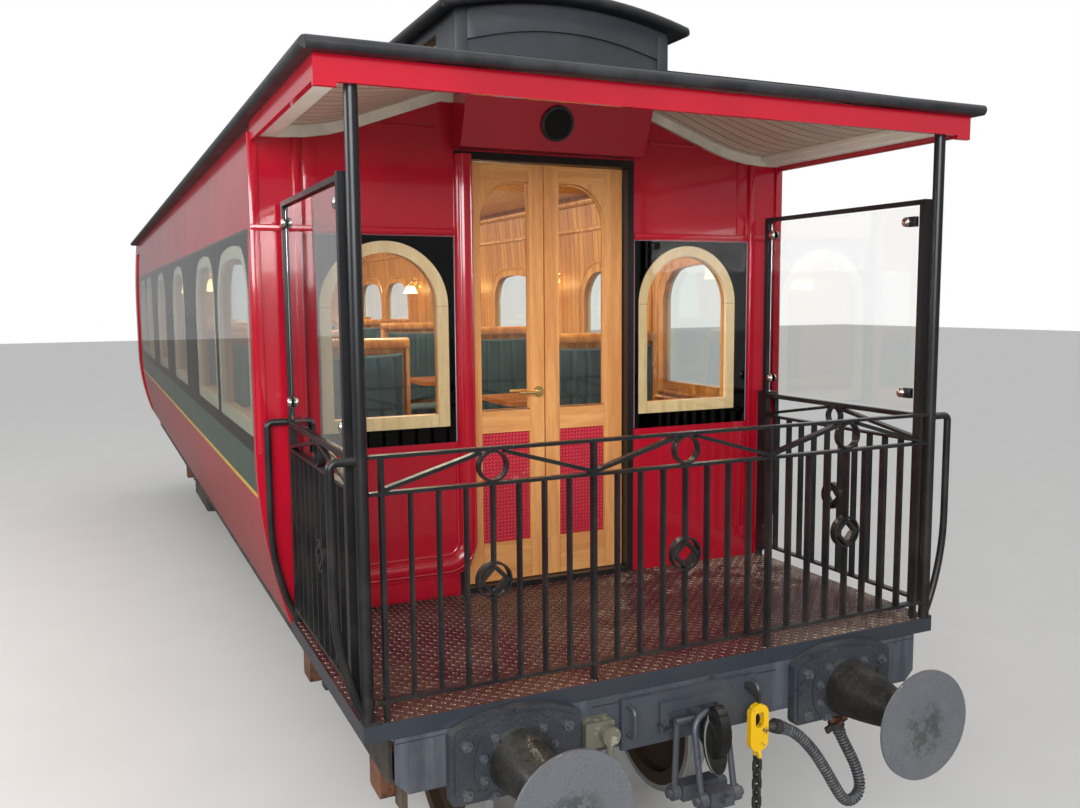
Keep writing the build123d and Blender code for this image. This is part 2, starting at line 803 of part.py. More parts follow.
lean = atan2(box_high_out - box_low_out, box_high_h - box_low_h)
face_origin = (grille_x, front_y - (box_low_out + box_high_out) / 2, deck_z + (box_low_h + box_high_h) / 2)
grille_plane = Plane(origin=face_origin, x_dir=(1, 0, 0), z_dir=(0, -cos(lean), -sin(lean)))
with BuildPart() as speaker_grille:
    with BuildSketch(grille_plane):
        Circle(grille_r)
        Circle(grille_r - grille_rim, mode=Mode.SUBTRACT)
        with GridLocations(1, 2 * (grille_r - grille_rim) / slat_count, 1, slat_count):
            Rectangle(2 * (grille_r - grille_rim + let_in), slat_w)
    extrude(amount=grille_t)
speaker_grille.part.label = "speaker_grille"
export_step(speaker_grille.part, "parts/speaker_grille.step")

# Corner posts of the balcony, each with the grab rail that bows out beside the deck
foot_w = 62
foot_in = 10
foot_t = 8
foot_corner_r = 8
with BuildPart() as corner_posts:
    for side in (-1, 1):
        with BuildSketch(level(0)):
            with Locations((side * post_x, post_y)):
                Circle(post_r)
        extrude(amount=eave_h - ceiling_t)
        with BuildSketch(level(0)):
            with Locations((side * (post_x - foot_in), post_y)):
                RectangleRounded(foot_w, foot_w, foot_corner_r)
        extrude(amount=foot_t)
        with BuildSketch(level(0)):
            with Locations((side * grab_foot_x, post_y)):
                Circle(pad_r)
        extrude(amount=pad_t)
        with BuildLine(across(post_y)) as bow:
            draw_grab_rail(side, post_x)
        with BuildSketch(Plane(origin=bow.line @ 0, z_dir=bow.line % 0)):
            Circle(grab_r)
        sweep(path=bow.line)
corner_posts.part.label = "corner_posts"
export_step(corner_posts.part, "parts/corner_posts.step")

# Stanchions at the body's corners, with the rear pair of grab rails
stanchion_y = front_y - stanchion_gap - stanchion_w / 2
with BuildPart() as body_grab_rails:
    for side in (-1, 1):
        with BuildSketch(level(0)):
            with Locations((side * gate_x, stanchion_y)):
                Rectangle(stanchion_t, stanchion_w)
        extrude(amount=rail_top_h)
        with BuildSketch(level(0)):
            with Locations((side * grab_foot_x, stanchion_y)):
                Circle(pad_r)
        extrude(amount=pad_t)
        with BuildLine(across(stanchion_y)) as bow:
            draw_grab_rail(side, gate_x)
        with BuildSketch(Plane(origin=bow.line @ 0, z_dir=bow.line % 0)):
            Circle(grab_r)
        sweep(path=bow.line)
body_grab_rails.part.label = "body_grab_rails"
export_step(body_grab_rails.part, "parts/body_grab_rails.step")


def draw_square_ring(centre, h):
    """Draw a ring with a square standing on its corner inside it."""
    bore = diamond_r - ring_w
    with Locations((centre, h)):
        Circle(diamond_r)
        Circle(bore, mode=Mode.SUBTRACT)
    with Locations(Location((centre, h), 45)):
        Rectangle(square_share * 2 * bore, square_share * 2 * bore)
        Rectangle(bore, bore, mode=Mode.SUBTRACT)


def draw_brace(ring_at, ring_h, upright_at, upright_h):
    """Draw a sloping brace from a ring down to the foot of an upright."""
    with BuildLine() as outline:
        Polyline((ring_at, ring_h), (ring_at, ring_h - brace_w), (upright_at, upright_h),
                 (upright_at, upright_h + brace_w), close=True)
    make_face(outline.edges())


# Front railing: flat bars between rails, in three bays with a ring and a squared ring in each
bay_half = bars_per_bay / 2
with BuildPart() as railing_front:
    with BuildSketch(across(post_y - bar_d / 2)):
        width = 2 * (post_x - post_r)
        for h in (rail_top_h, rail_mid_h, rail_low_h):
            with Locations((0, h - rail_t / 2)):
                Rectangle(width, rail_t)
        for n in range(-bars_each_side, bars_each_side + 1):
            is_upright = n % bars_per_bay == bay_half
            low = 0 if is_upright else rail_low_h
            high = rail_top_h if is_upright else rail_mid_h
            with Locations((n * bar_pitch, (low + high) / 2)):
                Rectangle(bar_w * (1.5 if is_upright else 1), high - low)
    extrude(amount=-bar_d)
    with BuildSketch(across(post_y - bar_d / 2)):
        for bay in (-1, 0, 1):
            with Locations((bay * bars_per_bay * bar_pitch, diamond_h)):
                Circle(diamond_r - ring_w / 2)
    extrude(amount=-bar_d, mode=Mode.SUBTRACT)
    with BuildSketch(across(post_y - bar_d / 2)):
        ring_h = (rail_top_h - rail_t + rail_mid_h) / 2
        ring_r = (rail_band - rail_t) / 2
        for bay in (-1, 0, 1):
            centre = bay * bars_per_bay * bar_pitch
            with Locations((centre, ring_h)):
                Circle(ring_r + let_in / 2)
                Circle(ring_r - ring_w, mode=Mode.SUBTRACT)
            draw_square_ring(centre, diamond_h)
            for way in (-1, 1):
                draw_brace(centre + way * (ring_r - rail_t), rail_top_h - rail_t + let_in,
                           centre + way * (bay_half * bar_pitch - bar_w / 2), rail_mid_h - let_in)
    extrude(amount=-bar_d)
railing_front.part.label = "railing_front"
export_step(railing_front.part, "parts/railing_front.step")

# Side gates with the same bars below and a glass screen above
gate_front = post_y + gate_front_gap
gate_rear = stanchion_y - stanchion_w / 2 - swing_gap
gate_low_h = 40
gate_bars = 10
gate_bar_pitch = (gate_rear - gate_front - gate_stile_d) / (gate_bars + 1)
rear_stile_w = 30
stile_out = 8
gate_ring_in = 10
screen_rail_t = 20
screen_gap = 10
gate_middle = (gate_front + gate_rear) / 2
for side, name in ((-1, "gate_left"), (1, "gate_right")):
    with BuildPart() as gate:
        with BuildSketch(level(gate_low_h)):
            with Locations((side * (gate_x + stile_out), gate_front + gate_stile_d / 2)):
                Rectangle(gate_stile_w, gate_stile_d)
            with Locations((side * gate_x, gate_rear - gate_stile_d / 2)):
                Rectangle(rear_stile_w, gate_stile_d)
        extrude(amount=screen_high_h - gate_low_h)
        with BuildSketch(along(side * gate_x - bar_d / 2)):
            for h, thick in ((rail_mid_h, rail_t), (rail_low_h, rail_t), (screen_low_h, screen_rail_t),
                             (screen_high_h, screen_rail_t)):
                with Locations((gate_middle, h - thick / 2)):
                    Rectangle(gate_rear - gate_front - gate_stile_d, thick)
            for n in range(1, gate_bars + 1):
                with Locations((gate_front + gate_stile_d / 2 + n * gate_bar_pitch,
                                (rail_low_h + rail_mid_h) / 2 - rail_t / 2)):
                    Rectangle(bar_w, rail_mid_h - rail_low_h)
        extrude(amount=bar_d)
        with BuildSketch(along(side * gate_x - bar_d / 2)):
            with Locations((gate_middle, diamond_h)):
                Circle(diamond_r - ring_w / 2)
        extrude(amount=bar_d, mode=Mode.SUBTRACT)
        with BuildSketch(along(side * gate_x - bar_d / 2)):
            ring_h = (screen_low_h - screen_rail_t + rail_mid_h) / 2
            gate_ring_r = (screen_low_h - screen_rail_t - rail_mid_h + let_in) / 2
            with Locations((gate_middle, ring_h)):
                Circle(gate_ring_r)
                Circle(gate_ring_r - ring_w, mode=Mode.SUBTRACT)
            draw_square_ring(gate_middle, diamond_h)
            for way in (-1, 1):
                stile_edge = (gate_rear - gate_front) / 2 - gate_stile_d
                draw_brace(gate_middle + way * (gate_ring_r - gate_ring_in),
                           screen_low_h - screen_rail_t + let_in,
                           gate_middle + way * (stile_edge + let_in), rail_mid_h - let_in)
        extrude(amount=bar_d)
    gate.part.label = name
    export_step(gate.part, f"parts/{name}.step")

# Glass of the screens, standing clear of the stiles and rails
screen_corner_r = 8
for side, name in ((-1, "gate_glass_left"), (1, "gate_glass_right")):
    with BuildPart() as screen:
        low = screen_low_h + screen_gap
        high = screen_high_h - screen_rail_t - screen_gap
        length = gate_rear - gate_front - 2 * gate_stile_d - 2 * screen_gap
        with BuildSketch(along(side * gate_x - pane_t / 2)):
            with Locations((gate_middle, (low + high) / 2)):
                RectangleRounded(length, high - low, screen_corner_r)
        extrude(amount=pane_t)
    screen.part.label = name
    export_step(screen.part, f"parts/{name}.step")

# Buffers: stepped castings with an arched top, bell-shaped shanks and flat round heads
base_half_w = 252
base_crown_h = -14
base_shoulder_h = -72
base_low_h = -330
base_corner_r = 28
base_t = 38
base_step = 18
pad_proud = 8
flange_r = 168
shank_r = 120
bell_r = 98
shank_tip_r = 50
neck_r = 60
neck_l = 16
head_edge_t = 12
head_back_t = 34


def draw_base(centre, inset):
    """Draw the arched outline of a buffer's casting, set in from its edge."""
    half_w = base_half_w - inset
    shoulder = (centre - half_w, base_shoulder_h - inset), (centre + half_w, base_shoulder_h - inset)
    with BuildLine() as outline:
        Polyline(shoulder[0], (centre - half_w, base_low_h + inset), (centre + half_w, base_low_h + inset),
                 shoulder[1])
        ThreePointArc(shoulder[0], (centre, base_crown_h - inset), shoulder[1])
    make_face(outline.edges())


with BuildPart() as buffers:
    for end in (-1, 1):
        for side in (-1, 1):
            face_y = end * (-post_y + headstock_y)
            with BuildSketch(across(face_y)) as casting:
                draw_base(side * buffer_x, 0)
                fillet(casting.vertices(), base_corner_r)
            extrude(amount=-end * base_t)
            with BuildSketch(across(face_y + end * base_t)) as casting:
                draw_base(side * buffer_x, base_step)
                fillet(casting.vertices(), base_corner_r)
            extrude(amount=-end * pad_proud)
            with BuildSketch(across(face_y + end * (base_t + pad_proud))) as casting:
                draw_base(side * buffer_x, base_step)
                fillet(casting.vertices(), base_corner_r)
                with Locations((side * buffer_x, buffer_h)):
                    Circle(flange_r, mode=Mode.INTERSECT)
            extrude(amount=-end * pad_proud)
            axis_plane = Plane(origin=(side * buffer_x, face_y, deck_z + buffer_h), x_dir=(0, end, 0),
                               z_dir=(end, 0, 0))
            with BuildSketch(axis_plane):
                root = base_t + 2 * pad_proud
                tip = buffer_reach - head_back_t - neck_l
                with BuildLine():
                    Polyline((root, shank_r), (root, 0), (buffer_reach, 0), (buffer_reach, buffer_head_r),
                             (buffer_reach - head_edge_t, buffer_head_r), (tip + neck_l, neck_r),
                             (tip, neck_r), (tip, shank_tip_r))
                    ThreePointArc((tip, shank_tip_r), (root + 0.42 * (tip - root), bell_r), (root, shank_r))
                make_face()
            revolve(axis=Axis((side * buffer_x, face_y, deck_z + buffer_h), (0, 1, 0)))
buffers.part.label = "buffers"
export_step(buffers.part, "parts/buffers.step")

# Draw gear: plates on the headstock, the hook, and the screw coupling hung over it
plate_half_w = 305
plate_high_h = -80
plate_low_h = -275
draw_plate_t = 20
inner_half_w = 147
inner_high_h = -113
inner_low_h = -232
slot_half_w = 110
slot_high_h = -153
slot_low_h = -205
hook_t = 40
throat_out = 140
throat_h = -130
throat_r = 22
shield_out = 172
shield_h = -248
shield_half_w = 48
shield_half_h = 108
shield_t = 18
shield_slope = 0.25
shackle_r = 12
shackle_half_w = 72
shackle_l = 310
shackle_lean = 12
nut_out = 62
nut_h = -462
nut_w = 62
nut_short = 20
link_half_w = 100
screw_r = 17
screw_end = 70
eye_t = 32
eye_r = 30
pin_r = 14
pin_end = 8
pin_out = 78
staple_r = 9
staple_in = 27
staple_high_h = -105
staple_low_h = -215
staple_out = 52
staple_bend_r = 22
hook_root = 2
lip_lean = 8
lip_h = throat_h + 30
hook_nose = (
    # distance from the headstock, height: up the lip, over the nose and down the back
    (throat_out + 62, throat_h + 42),
    (throat_out + 95, throat_h + 14),
    (throat_out + 112, throat_h - 95),
    (throat_out + 40, throat_h - 172),
    (throat_out - 32, throat_h - 118),
)
with BuildPart() as draw_gear:
    for end in (-1, 1):
        face_y = end * (-post_y + headstock_y)
        front = face_y + end * draw_plate_t
        with BuildSketch(across(face_y)):
            with Locations((0, (plate_high_h + plate_low_h) / 2)):
                Rectangle(2 * plate_half_w, plate_high_h - plate_low_h)
        extrude(amount=-end * draw_plate_t)
        with BuildSketch(across(front)):
            with Locations((0, (inner_high_h + inner_low_h) / 2)):
                Rectangle(2 * inner_half_w, inner_high_h - inner_low_h)
            with Locations((0, (slot_high_h + slot_low_h) / 2)):
                Rectangle(2 * slot_half_w, slot_high_h - slot_low_h, mode=Mode.SUBTRACT)
        extrude(amount=-end * draw_plate_t)
        with BuildSketch(along(-hook_t / 2)):
            with BuildLine():
                root_low = (0, slot_low_h + hook_root)
                shank = [root_low, (0, slot_high_h - hook_root),
                         (throat_out - throat_r - lip_lean, slot_high_h - hook_root),
                         (throat_out - throat_r, throat_h)]
                throat = [shank[-1], (throat_out, throat_h - throat_r), (throat_out + throat_r, throat_h)]
                lip = [throat[-1], (throat_out + throat_r + lip_lean, lip_h)]
                round_back = [lip[-1], *hook_nose, root_low]
                for straight in (shank, lip):
                    Polyline(*[(face_y + end * out, h) for out, h in straight])
                for bend in (throat, round_back[0:3], round_back[2:5], round_back[4:7]):
                    ThreePointArc(*[(face_y + end * out, h) for out, h in bend])
            make_face()
        extrude(amount=hook_t)
        with BuildSketch(Plane(origin=(0, face_y + end * shield_out, deck_z + shield_h), x_dir=(1, 0, 0),
                               z_dir=(0, end, shield_slope))):
            Ellipse(shield_half_w, shield_half_h)
        extrude(amount=shield_t)
    for end in (-1, 1):
        face_y = end * (-post_y + headstock_y)
        front = face_y + end * draw_plate_t
        tilt = radians(shackle_lean)
        hung = Plane(origin=(0, face_y + end * throat_out, deck_z + throat_h), x_dir=(end, 0, 0),
                     z_dir=(0, -end * cos(tilt), -sin(tilt)))
        with BuildLine(hung) as bow:
            Line((-shackle_half_w, -shackle_l), (-shackle_half_w, -shackle_half_w))
            ThreePointArc((-shackle_half_w, -shackle_half_w), (0, 0), (shackle_half_w, -shackle_half_w))
            Line((shackle_half_w, -shackle_half_w), (shackle_half_w, -shackle_l))
        with BuildSketch(Plane(origin=bow.line @ 0, z_dir=bow.line % 0)):
            Circle(shackle_r)
        sweep(path=bow.line)
        foot = bow.line @ 0
        near = Vector(0, foot.Y, foot.Z)
        far = Vector(0, face_y + end * nut_out, deck_z + nut_h)
        for centre, half_w in ((near, shackle_half_w), (far, link_half_w)):
            with BuildSketch(Plane(origin=centre - Vector(half_w + eye_t, 0, 0), z_dir=(1, 0, 0))):
                Circle(screw_r)
            extrude(amount=2 * half_w + 2 * eye_t)
            with BuildSketch(Plane(origin=centre - Vector(half_w - nut_short, 0, 0), z_dir=(1, 0, 0))):
                Rectangle(nut_w, nut_w)
            extrude(amount=2 * (half_w - nut_short))
            for side in (-1, 1):
                eye = centre + Vector(side * half_w - eye_t / 2, 0, 0)
                with BuildSketch(Plane(origin=eye, z_dir=(1, 0, 0))):
                    Circle(eye_r)
                extrude(amount=eye_t)
        with BuildSketch(Plane(origin=far, z_dir=(near - far).normalized())):
            Circle(screw_r)
        extrude(amount=(near - far).length + screw_end)
        pin = Vector(0, face_y + end * pin_out, deck_z + (slot_high_h + slot_low_h) / 2)
        with BuildSketch(Plane(origin=pin - Vector(link_half_w + pin_end, 0, 0), z_dir=(1, 0, 0))):
            Circle(pin_r)
        extrude(amount=2 * (link_half_w + pin_end))
        for side in (-1, 1):
            start = pin + Vector(side * link_half_w, 0, 0)
            stop = far + Vector(side * link_half_w, 0, 0)
            with BuildSketch(Plane(origin=start, z_dir=(stop - start).normalized())):
                Circle(shackle_r)
            extrude(amount=(stop - start).length)
            with BuildLine(along(side * (plate_half_w - staple_in))) as staple:
                FilletPolyline((front, staple_high_h), (front + end * staple_out, staple_high_h),
                               (front + end * staple_out, staple_low_h), (front, staple_low_h),
                               radius=staple_bend_r)
            with BuildSketch(Plane(origin=staple.line @ 0, z_dir=staple.line % 0)):
                Circle(staple_r)
            sweep(path=staple.line)
draw_gear.part.label = "draw_gear"
export_step(draw_gear.part, "parts/draw_gear.step")

# Bogies
side_frame_x = journal_x
frame_t = 30
bogie_half_l = 1215
bogie_high = 160
bogie_low_z = wheel_z + 60
bogie_top_z = bogie_low_z + bogie_high
bogie_end_high = 90
horn_half_w = 95
horn_low_z = wheel_z - 115
horn_head_z = bogie_top_z - 50
rail_in = 20
end_rail_w = 50
end_rail_high = 60
end_rail_in = 30
bowl_half_w = 250
bowl_rim = 20
lug_h = 57
lug_high = 70
lug_bite = 15
transom_y = 190
transom_w = 90
bowl_z = deck_z + beam_low_h - pivot_drop - pivot_gap
spring_leaves = 5
leaf_thick = 14
spring_half_l = 430
spring_w = 70
spring_gap = 12
strap_w = 80
hanger_w = 30
shoe_high = spring_gap + leaf_thick * (spring_leaves - 1)
block_x = 588
block_w = 80
block_gap = 8
block_t = 60
block_low_turn = -30
block_high_turn = 35
for end, name in ((-1, "bogie_frame_front"), (1, "bogie_frame_rear")):
    centre = end * bogie_y
    with BuildPart() as bogie:
        for side in (-1, 1):
            with BuildSketch(Plane.YZ.offset(side * side_frame_x - frame_t / 2)):
                with BuildLine():
                    left, right = centre - bogie_half_l, centre + bogie_half_l
                    foot = wheelbase / 2 + 2 * horn_half_w
                    Polyline((left, bogie_top_z), (right, bogie_top_z), (right, bogie_top_z - bogie_end_high),
                             (centre + foot, bogie_low_z), (centre - foot, bogie_low_z),
                             (left, bogie_top_z - bogie_end_high), close=True)
                make_face()
                for axle in (-1, 1):
                    with Locations((centre + axle * wheelbase / 2, (horn_low_z + bogie_low_z) / 2)):
                        Rectangle(4 * horn_half_w, bogie_low_z - horn_low_z)
                for axle in (-1, 1):
                    with Locations((centre + axle * wheelbase / 2, (horn_low_z + horn_head_z) / 2)):
                        Rectangle(2 * horn_half_w, horn_head_z - horn_low_z, mode=Mode.SUBTRACT)
                for axle in (-1, 1):
                    for way in (-1, 1):
                        hanger_y = centre + axle * wheelbase / 2 + way * (spring_half_l - hanger_w / 2)
                        with Locations((hanger_y, bogie_top_z + shoe_high / 2)):
                            Rectangle(hanger_w, shoe_high)
            extrude(amount=frame_t)
        with BuildSketch(Plane.YZ.offset(-side_frame_x + frame_t / 2)):
            for way in (-1, 1):
                with Locations((centre + way * transom_y, (bogie_low_z + bogie_top_z) / 2)):
                    Rectangle(transom_w, bogie_high - rail_in)
                with Locations((centre + way * (bogie_half_l - end_rail_in),
                                bogie_top_z - rail_in - end_rail_high / 2)):
                    Rectangle(end_rail_w, end_rail_high)
        extrude(amount=2 * side_frame_x - frame_t)
        for side in (-1, 1):
            with BuildSketch(Plane.YZ.offset(side * block_x - block_w / 2)):
                for way in (-1, 1):
                    axle_y = centre + way * wheelbase / 2
                    with BuildLine() as shoe:
                        low, high = radians(block_low_turn), radians(block_high_turn)
                        arcs = []
                        for r in (tread_r + block_gap, tread_r + block_gap + block_t):
                            arcs.append([(axle_y - way * r * cos(a), wheel_z + r * sin(a))
                                         for a in (low, (low + high) / 2, high)])
                        ThreePointArc(*arcs[0])
                        ThreePointArc(*arcs[1])
                        Line(arcs[0][0], arcs[1][0])
                        Line(arcs[0][2], arcs[1][2])
                    make_face(shoe.edges())
                    lug_out = wheelbase / 2 - tread_r - block_gap - block_t / 2 + lug_bite
                    with Locations((centre + way * (transom_y + lug_out) / 2, bogie_low_z + lug_h)):
                        Rectangle(lug_out - transom_y, lug_high)
            extrude(amount=block_w)
        with BuildSketch(Plane.XY.offset(bogie_low_z + rail_in / 2)):
            with Locations((0, centre)):
                Rectangle(2 * bowl_half_w, 2 * transom_y)
        extrude(amount=bogie_high - rail_in)
        with BuildSketch(Plane.XY.offset(bogie_top_z - rail_in)):
            with Locations((0, centre)):
                Circle(pivot_r + bowl_rim)
        extrude(amount=bowl_z - bogie_top_z + rail_in)
    bogie.part.label = name
    export_step(bogie.part, f"parts/{name}.step")

# Axle boxes with the leaf springs over them
strap_t = 16
strap_gap = 4
strap_half_x = frame_t / 2 + strap_gap + strap_t
axle_box_half_w = horn_half_w - strap_gap
axle_box_half_h = 95
axle_box_half_d = 80
axle_box_corner_r = 20
journal_clear = 0.5
journal_end = 20
bore_end = 30
strap_bite = 5
leaf_step = 0.17
for end, name in ((-1, "bogie_springs_front"), (1, "bogie_springs_rear")):
    centre = end * bogie_y
    with BuildPart() as springs:
        for side in (-1, 1):
            for axle in (-1, 1):
                y = centre + axle * wheelbase / 2
                with BuildSketch(Plane.YZ.offset(side * side_frame_x - axle_box_half_d)):
                    with Locations((y, wheel_z)):
                        RectangleRounded(2 * axle_box_half_w, 2 * axle_box_half_h, axle_box_corner_r)
                extrude(amount=2 * axle_box_half_d)
                with BuildSketch(Plane.YZ.offset(side * (side_frame_x - axle_box_half_d))):
                    with Locations((y, wheel_z)):
                        Circle(journal_r + journal_clear)
                extrude(amount=side * (bore_end + axle_box_half_d), mode=Mode.SUBTRACT)
                for n in range(spring_leaves):
                    half_l = spring_half_l * (1 - leaf_step * n)
                    middle_z = bogie_top_z + shoe_high + leaf_thick * (0.5 - n)
                    with BuildSketch(Plane.YZ.offset(side * side_frame_x - spring_w / 2)):
                        with Locations((y, middle_z)):
                            Rectangle(2 * half_l, leaf_thick)
                    extrude(amount=spring_w)
                strap_low = wheel_z + axle_box_half_h - strap_bite
                strap_high = bogie_top_z + shoe_high + leaf_thick + strap_t
                with BuildSketch(Plane.YZ.offset(side * side_frame_x - strap_half_x)):
                    with Locations((y, (strap_low + strap_high) / 2)):
                        Rectangle(strap_w, strap_high - strap_low)
                extrude(amount=2 * strap_half_x)
                with BuildSketch(Plane.YZ.offset(side * side_frame_x - frame_t / 2 - strap_gap)):
                    box_top = wheel_z + axle_box_half_h
                    with Locations((y, (box_top + bogie_top_z + strap_gap) / 2)):
                        Rectangle(strap_w, bogie_top_z + strap_gap - box_top)
                extrude(amount=frame_t + 2 * strap_gap, mode=Mode.SUBTRACT)
    springs.part.label = name
    export_step(springs.part, f"parts/{name}.step")

# Wheelsets: profile of one wheel turned about the axle, mirrored, with the axle between
hub_r = 120
hub_out = 20
seat_l = 30
axle_waist = 6
rim_in_r = 290
rim_r = tread_r + flange_high
web_half_t = 14
tyre_x = gauge_in + tyre_w
web_x = gauge_in + tyre_w / 2
wheel_profile = (
    # distance from the middle, radius: axle, hub, web, flange, tread, web, hub and journal
    (0, 0),
    (0, axle_r - axle_waist),
    (gauge_in - 2 * seat_l, axle_r),
    (gauge_in - seat_l, hub_r),
    (web_x - web_half_t, hub_r),
    (web_x - web_half_t, rim_in_r),
    (gauge_in, rim_in_r),
    (gauge_in, rim_r - 6),
    (gauge_in + 8, rim_r),
    (gauge_in + flange_w - 8, tread_r + 10),
    (gauge_in + flange_w + 4, tread_r),
    (tyre_x, tread_r - 4),
    (tyre_x, rim_in_r),
    (web_x + web_half_t, rim_in_r),
    (web_x + web_half_t, hub_r),
    (tyre_x + hub_out, hub_r),
    (tyre_x + hub_out, journal_r),
    (journal_x + journal_end, journal_r),
    (journal_x + journal_end, 0),
)
for number, (end, axle) in enumerate(((-1, -1), (-1, 1), (1, -1), (1, 1)), 1):
    y = end * bogie_y + axle * wheelbase / 2
    with BuildPart() as wheelset:
        with BuildSketch(Plane(origin=(0, y, wheel_z), x_dir=(1, 0, 0), z_dir=(0, -1, 0))):
            with BuildLine():
                Polyline(*wheel_profile, close=True)
            make_face()
            mirror(about=Plane.YZ)
        revolve(axis=Axis((0, y, wheel_z), (1, 0, 0)))
    wheelset.part.label = f"wheelset_{number}"
    export_step(wheelset.part, f"parts/wheelset_{number}.step")

# Lined doorways of the vestibule and their leaves
leaf_side_t = 36
frame_inner_x = side_leaf_x - leaf_side_t
with BuildPart() as vestibule_frames:
    with BuildSketch(across(side_rear)):
        draw_body(0, 0)
    extrude(amount=(side_rear - partition_y))
    with BuildSketch(along(-body_half_w)):
        with Locations((side_door_y, (side_head_h + side_jamb_w) / 2)):
            Rectangle(2 * (door_half_w + swing_gap + side_jamb_w), side_head_h + side_jamb_w)
        with Locations((side_door_y, side_head_h / 2)):
            Rectangle(2 * (door_half_w + swing_gap), side_head_h, mode=Mode.SUBTRACT)
    extrude(amount=2 * body_half_w, mode=Mode.INTERSECT)
    with BuildSketch(level(0)):
        Rectangle(2 * frame_inner_x, body_l)
    extrude(amount=2 * eave_h, mode=Mode.SUBTRACT)
vestibule_frames.part.label = "vestibule_frames"
export_step(vestibule_frames.part, "parts/vestibule_frames.step")

light_margin = 90
light_low_h = 1000
side_leaf_low_h = 12
side_light_high_h = side_head_h - light_margin
rear_light_high_h = rear_head_h - light_margin
for side, name in ((-1, "vestibule_door_left"), (1, "vestibule_door_right")):
    with BuildPart() as leaf:
        with BuildSketch(along(side * frame_inner_x)):
            with Locations((side_door_y, (side_leaf_low_h + side_head_h - gap) / 2)):
                Rectangle(2 * door_half_w, side_head_h - gap - side_leaf_low_h)
            with Locations((side_door_y, (light_low_h + side_light_high_h) / 2)):
                Rectangle(2 * (door_half_w - light_margin), side_light_high_h - light_low_h,
                          mode=Mode.SUBTRACT)
        extrude(amount=side * leaf_side_t)
    leaf.part.label = name
    export_step(leaf.part, f"parts/{name}.step")

end_leaf_in = 12
end_leaf_y = rear_y - end_leaf_in - leaf_side_t
with BuildPart() as end_door:
    with BuildSketch(across(end_leaf_y)):
        with Locations((0, (side_leaf_low_h + rear_head_h - gap) / 2)):
            Rectangle(2 * door_half_w, rear_head_h - gap - side_leaf_low_h)
        with Locations((0, (light_low_h + rear_light_high_h) / 2)):
            Rectangle(2 * (door_half_w - light_margin), rear_light_high_h - light_low_h, mode=Mode.SUBTRACT)
    extrude(amount=-leaf_side_t)
end_door.part.label = "end_door"
export_step(end_door.part, "parts/end_door.step")

# Seats back to back at the piers, with tables between them
seat_in_x = 400
seat_side_gap = 195
seat_out_x = body_half_w - seat_side_gap
seat_w = seat_out_x - seat_in_x
back_t = 90
back_high_h = 1180
cushion_h = 450
cushion_t = 120
cushion_d = 440
pier_ys = [(a + b) / 2 for a, b in zip(panel_joints[2:-2:2], panel_joints[3:-1:2])]
end_seat_gap = 1005.5
end_seat_y = partition_y - end_seat_gap
seat_row = (
    # y of the back, faces the front, faces the rear
    (-end_seat_y, False, True),
    *[(y, True, True) for y in pier_ys],
    (end_seat_y, True, False),
)
with BuildPart() as seats:
    for side in (-1, 1):
        for y, faces_front, faces_rear in seat_row:
            with BuildSketch(along(side * seat_in_x)):
                with Locations((y, back_high_h / 2)):
                    Rectangle(back_t, back_high_h)
                begin = y - back_t / 2 - (cushion_d if faces_front else 0)
                stop = y + back_t / 2 + (cushion_d if faces_rear else 0)
                with Locations(((begin + stop) / 2, cushion_h - cushion_t / 2)):
                    Rectangle(stop - begin, cushion_t)
            extrude(amount=side * seat_w)
seats.part.label = "seats"
export_step(seats.part, "parts/seats.step")

# Tables at the windows, each on one leg
table_l = 560
table_w = 780
table_h = 740
table_t = 30
table_leg = 60
table_corner_r = 60
table_ys = [centre for centre, half_w in side_windows[1:-1]]
with BuildPart() as tables:
    for side in (-1, 1):
        for y in table_ys:
            x = side * (seat_out_x - table_w / 2)
            with BuildSketch(level(table_h - table_t)):
                with Locations((x, y)):
                    RectangleRounded(table_w, table_l, table_corner_r)
            extrude(amount=table_t)
            with BuildSketch(level(0)):
                with Locations((x, y)):
                    Rectangle(table_leg, table_leg)
            extrude(amount=table_h - table_t)
tables.part.label = "tables"
export_step(tables.part, "parts/tables.step")

# Wall lamps on the piers: a round plate, an arm and a bell shade
lamp_h = 1560
lamp_stand = 130
rose_r = 45
rose_t = 14
arm_r = 9
shade_profile = (
    # radius, height over the arm
    (0, 16),
    (24, 12),
    (40, -30),
    (62, -95),
    (0, -83),
)
with BuildPart() as wall_lamps:
    for side in (-1, 1):
        wall_x = side * side_x(lamp_h + rose_r, side_t)
        for y in pier_ys:
            for r, length in ((rose_r, rose_t), (arm_r, lamp_stand)):
                with BuildSketch(Plane(origin=(wall_x, y, deck_z + lamp_h), z_dir=(-side, 0, 0))):
                    Circle(r)
                extrude(amount=length)
            lamp_axis = wall_x - side * lamp_stand
            lamp_plane = Plane(origin=(lamp_axis, y, deck_z + lamp_h), x_dir=(1, 0, 0), z_dir=(0, -1, 0))
            with BuildSketch(lamp_plane):
                with BuildLine():
                    Polyline(*shade_profile, close=True)
                make_face()
            revolve(axis=Axis((lamp_axis, y, deck_z), (0, 0, 1)))
wall_lamps.part.label = "wall_lamps"
export_step(wall_lamps.part, "parts/wall_lamps.step")

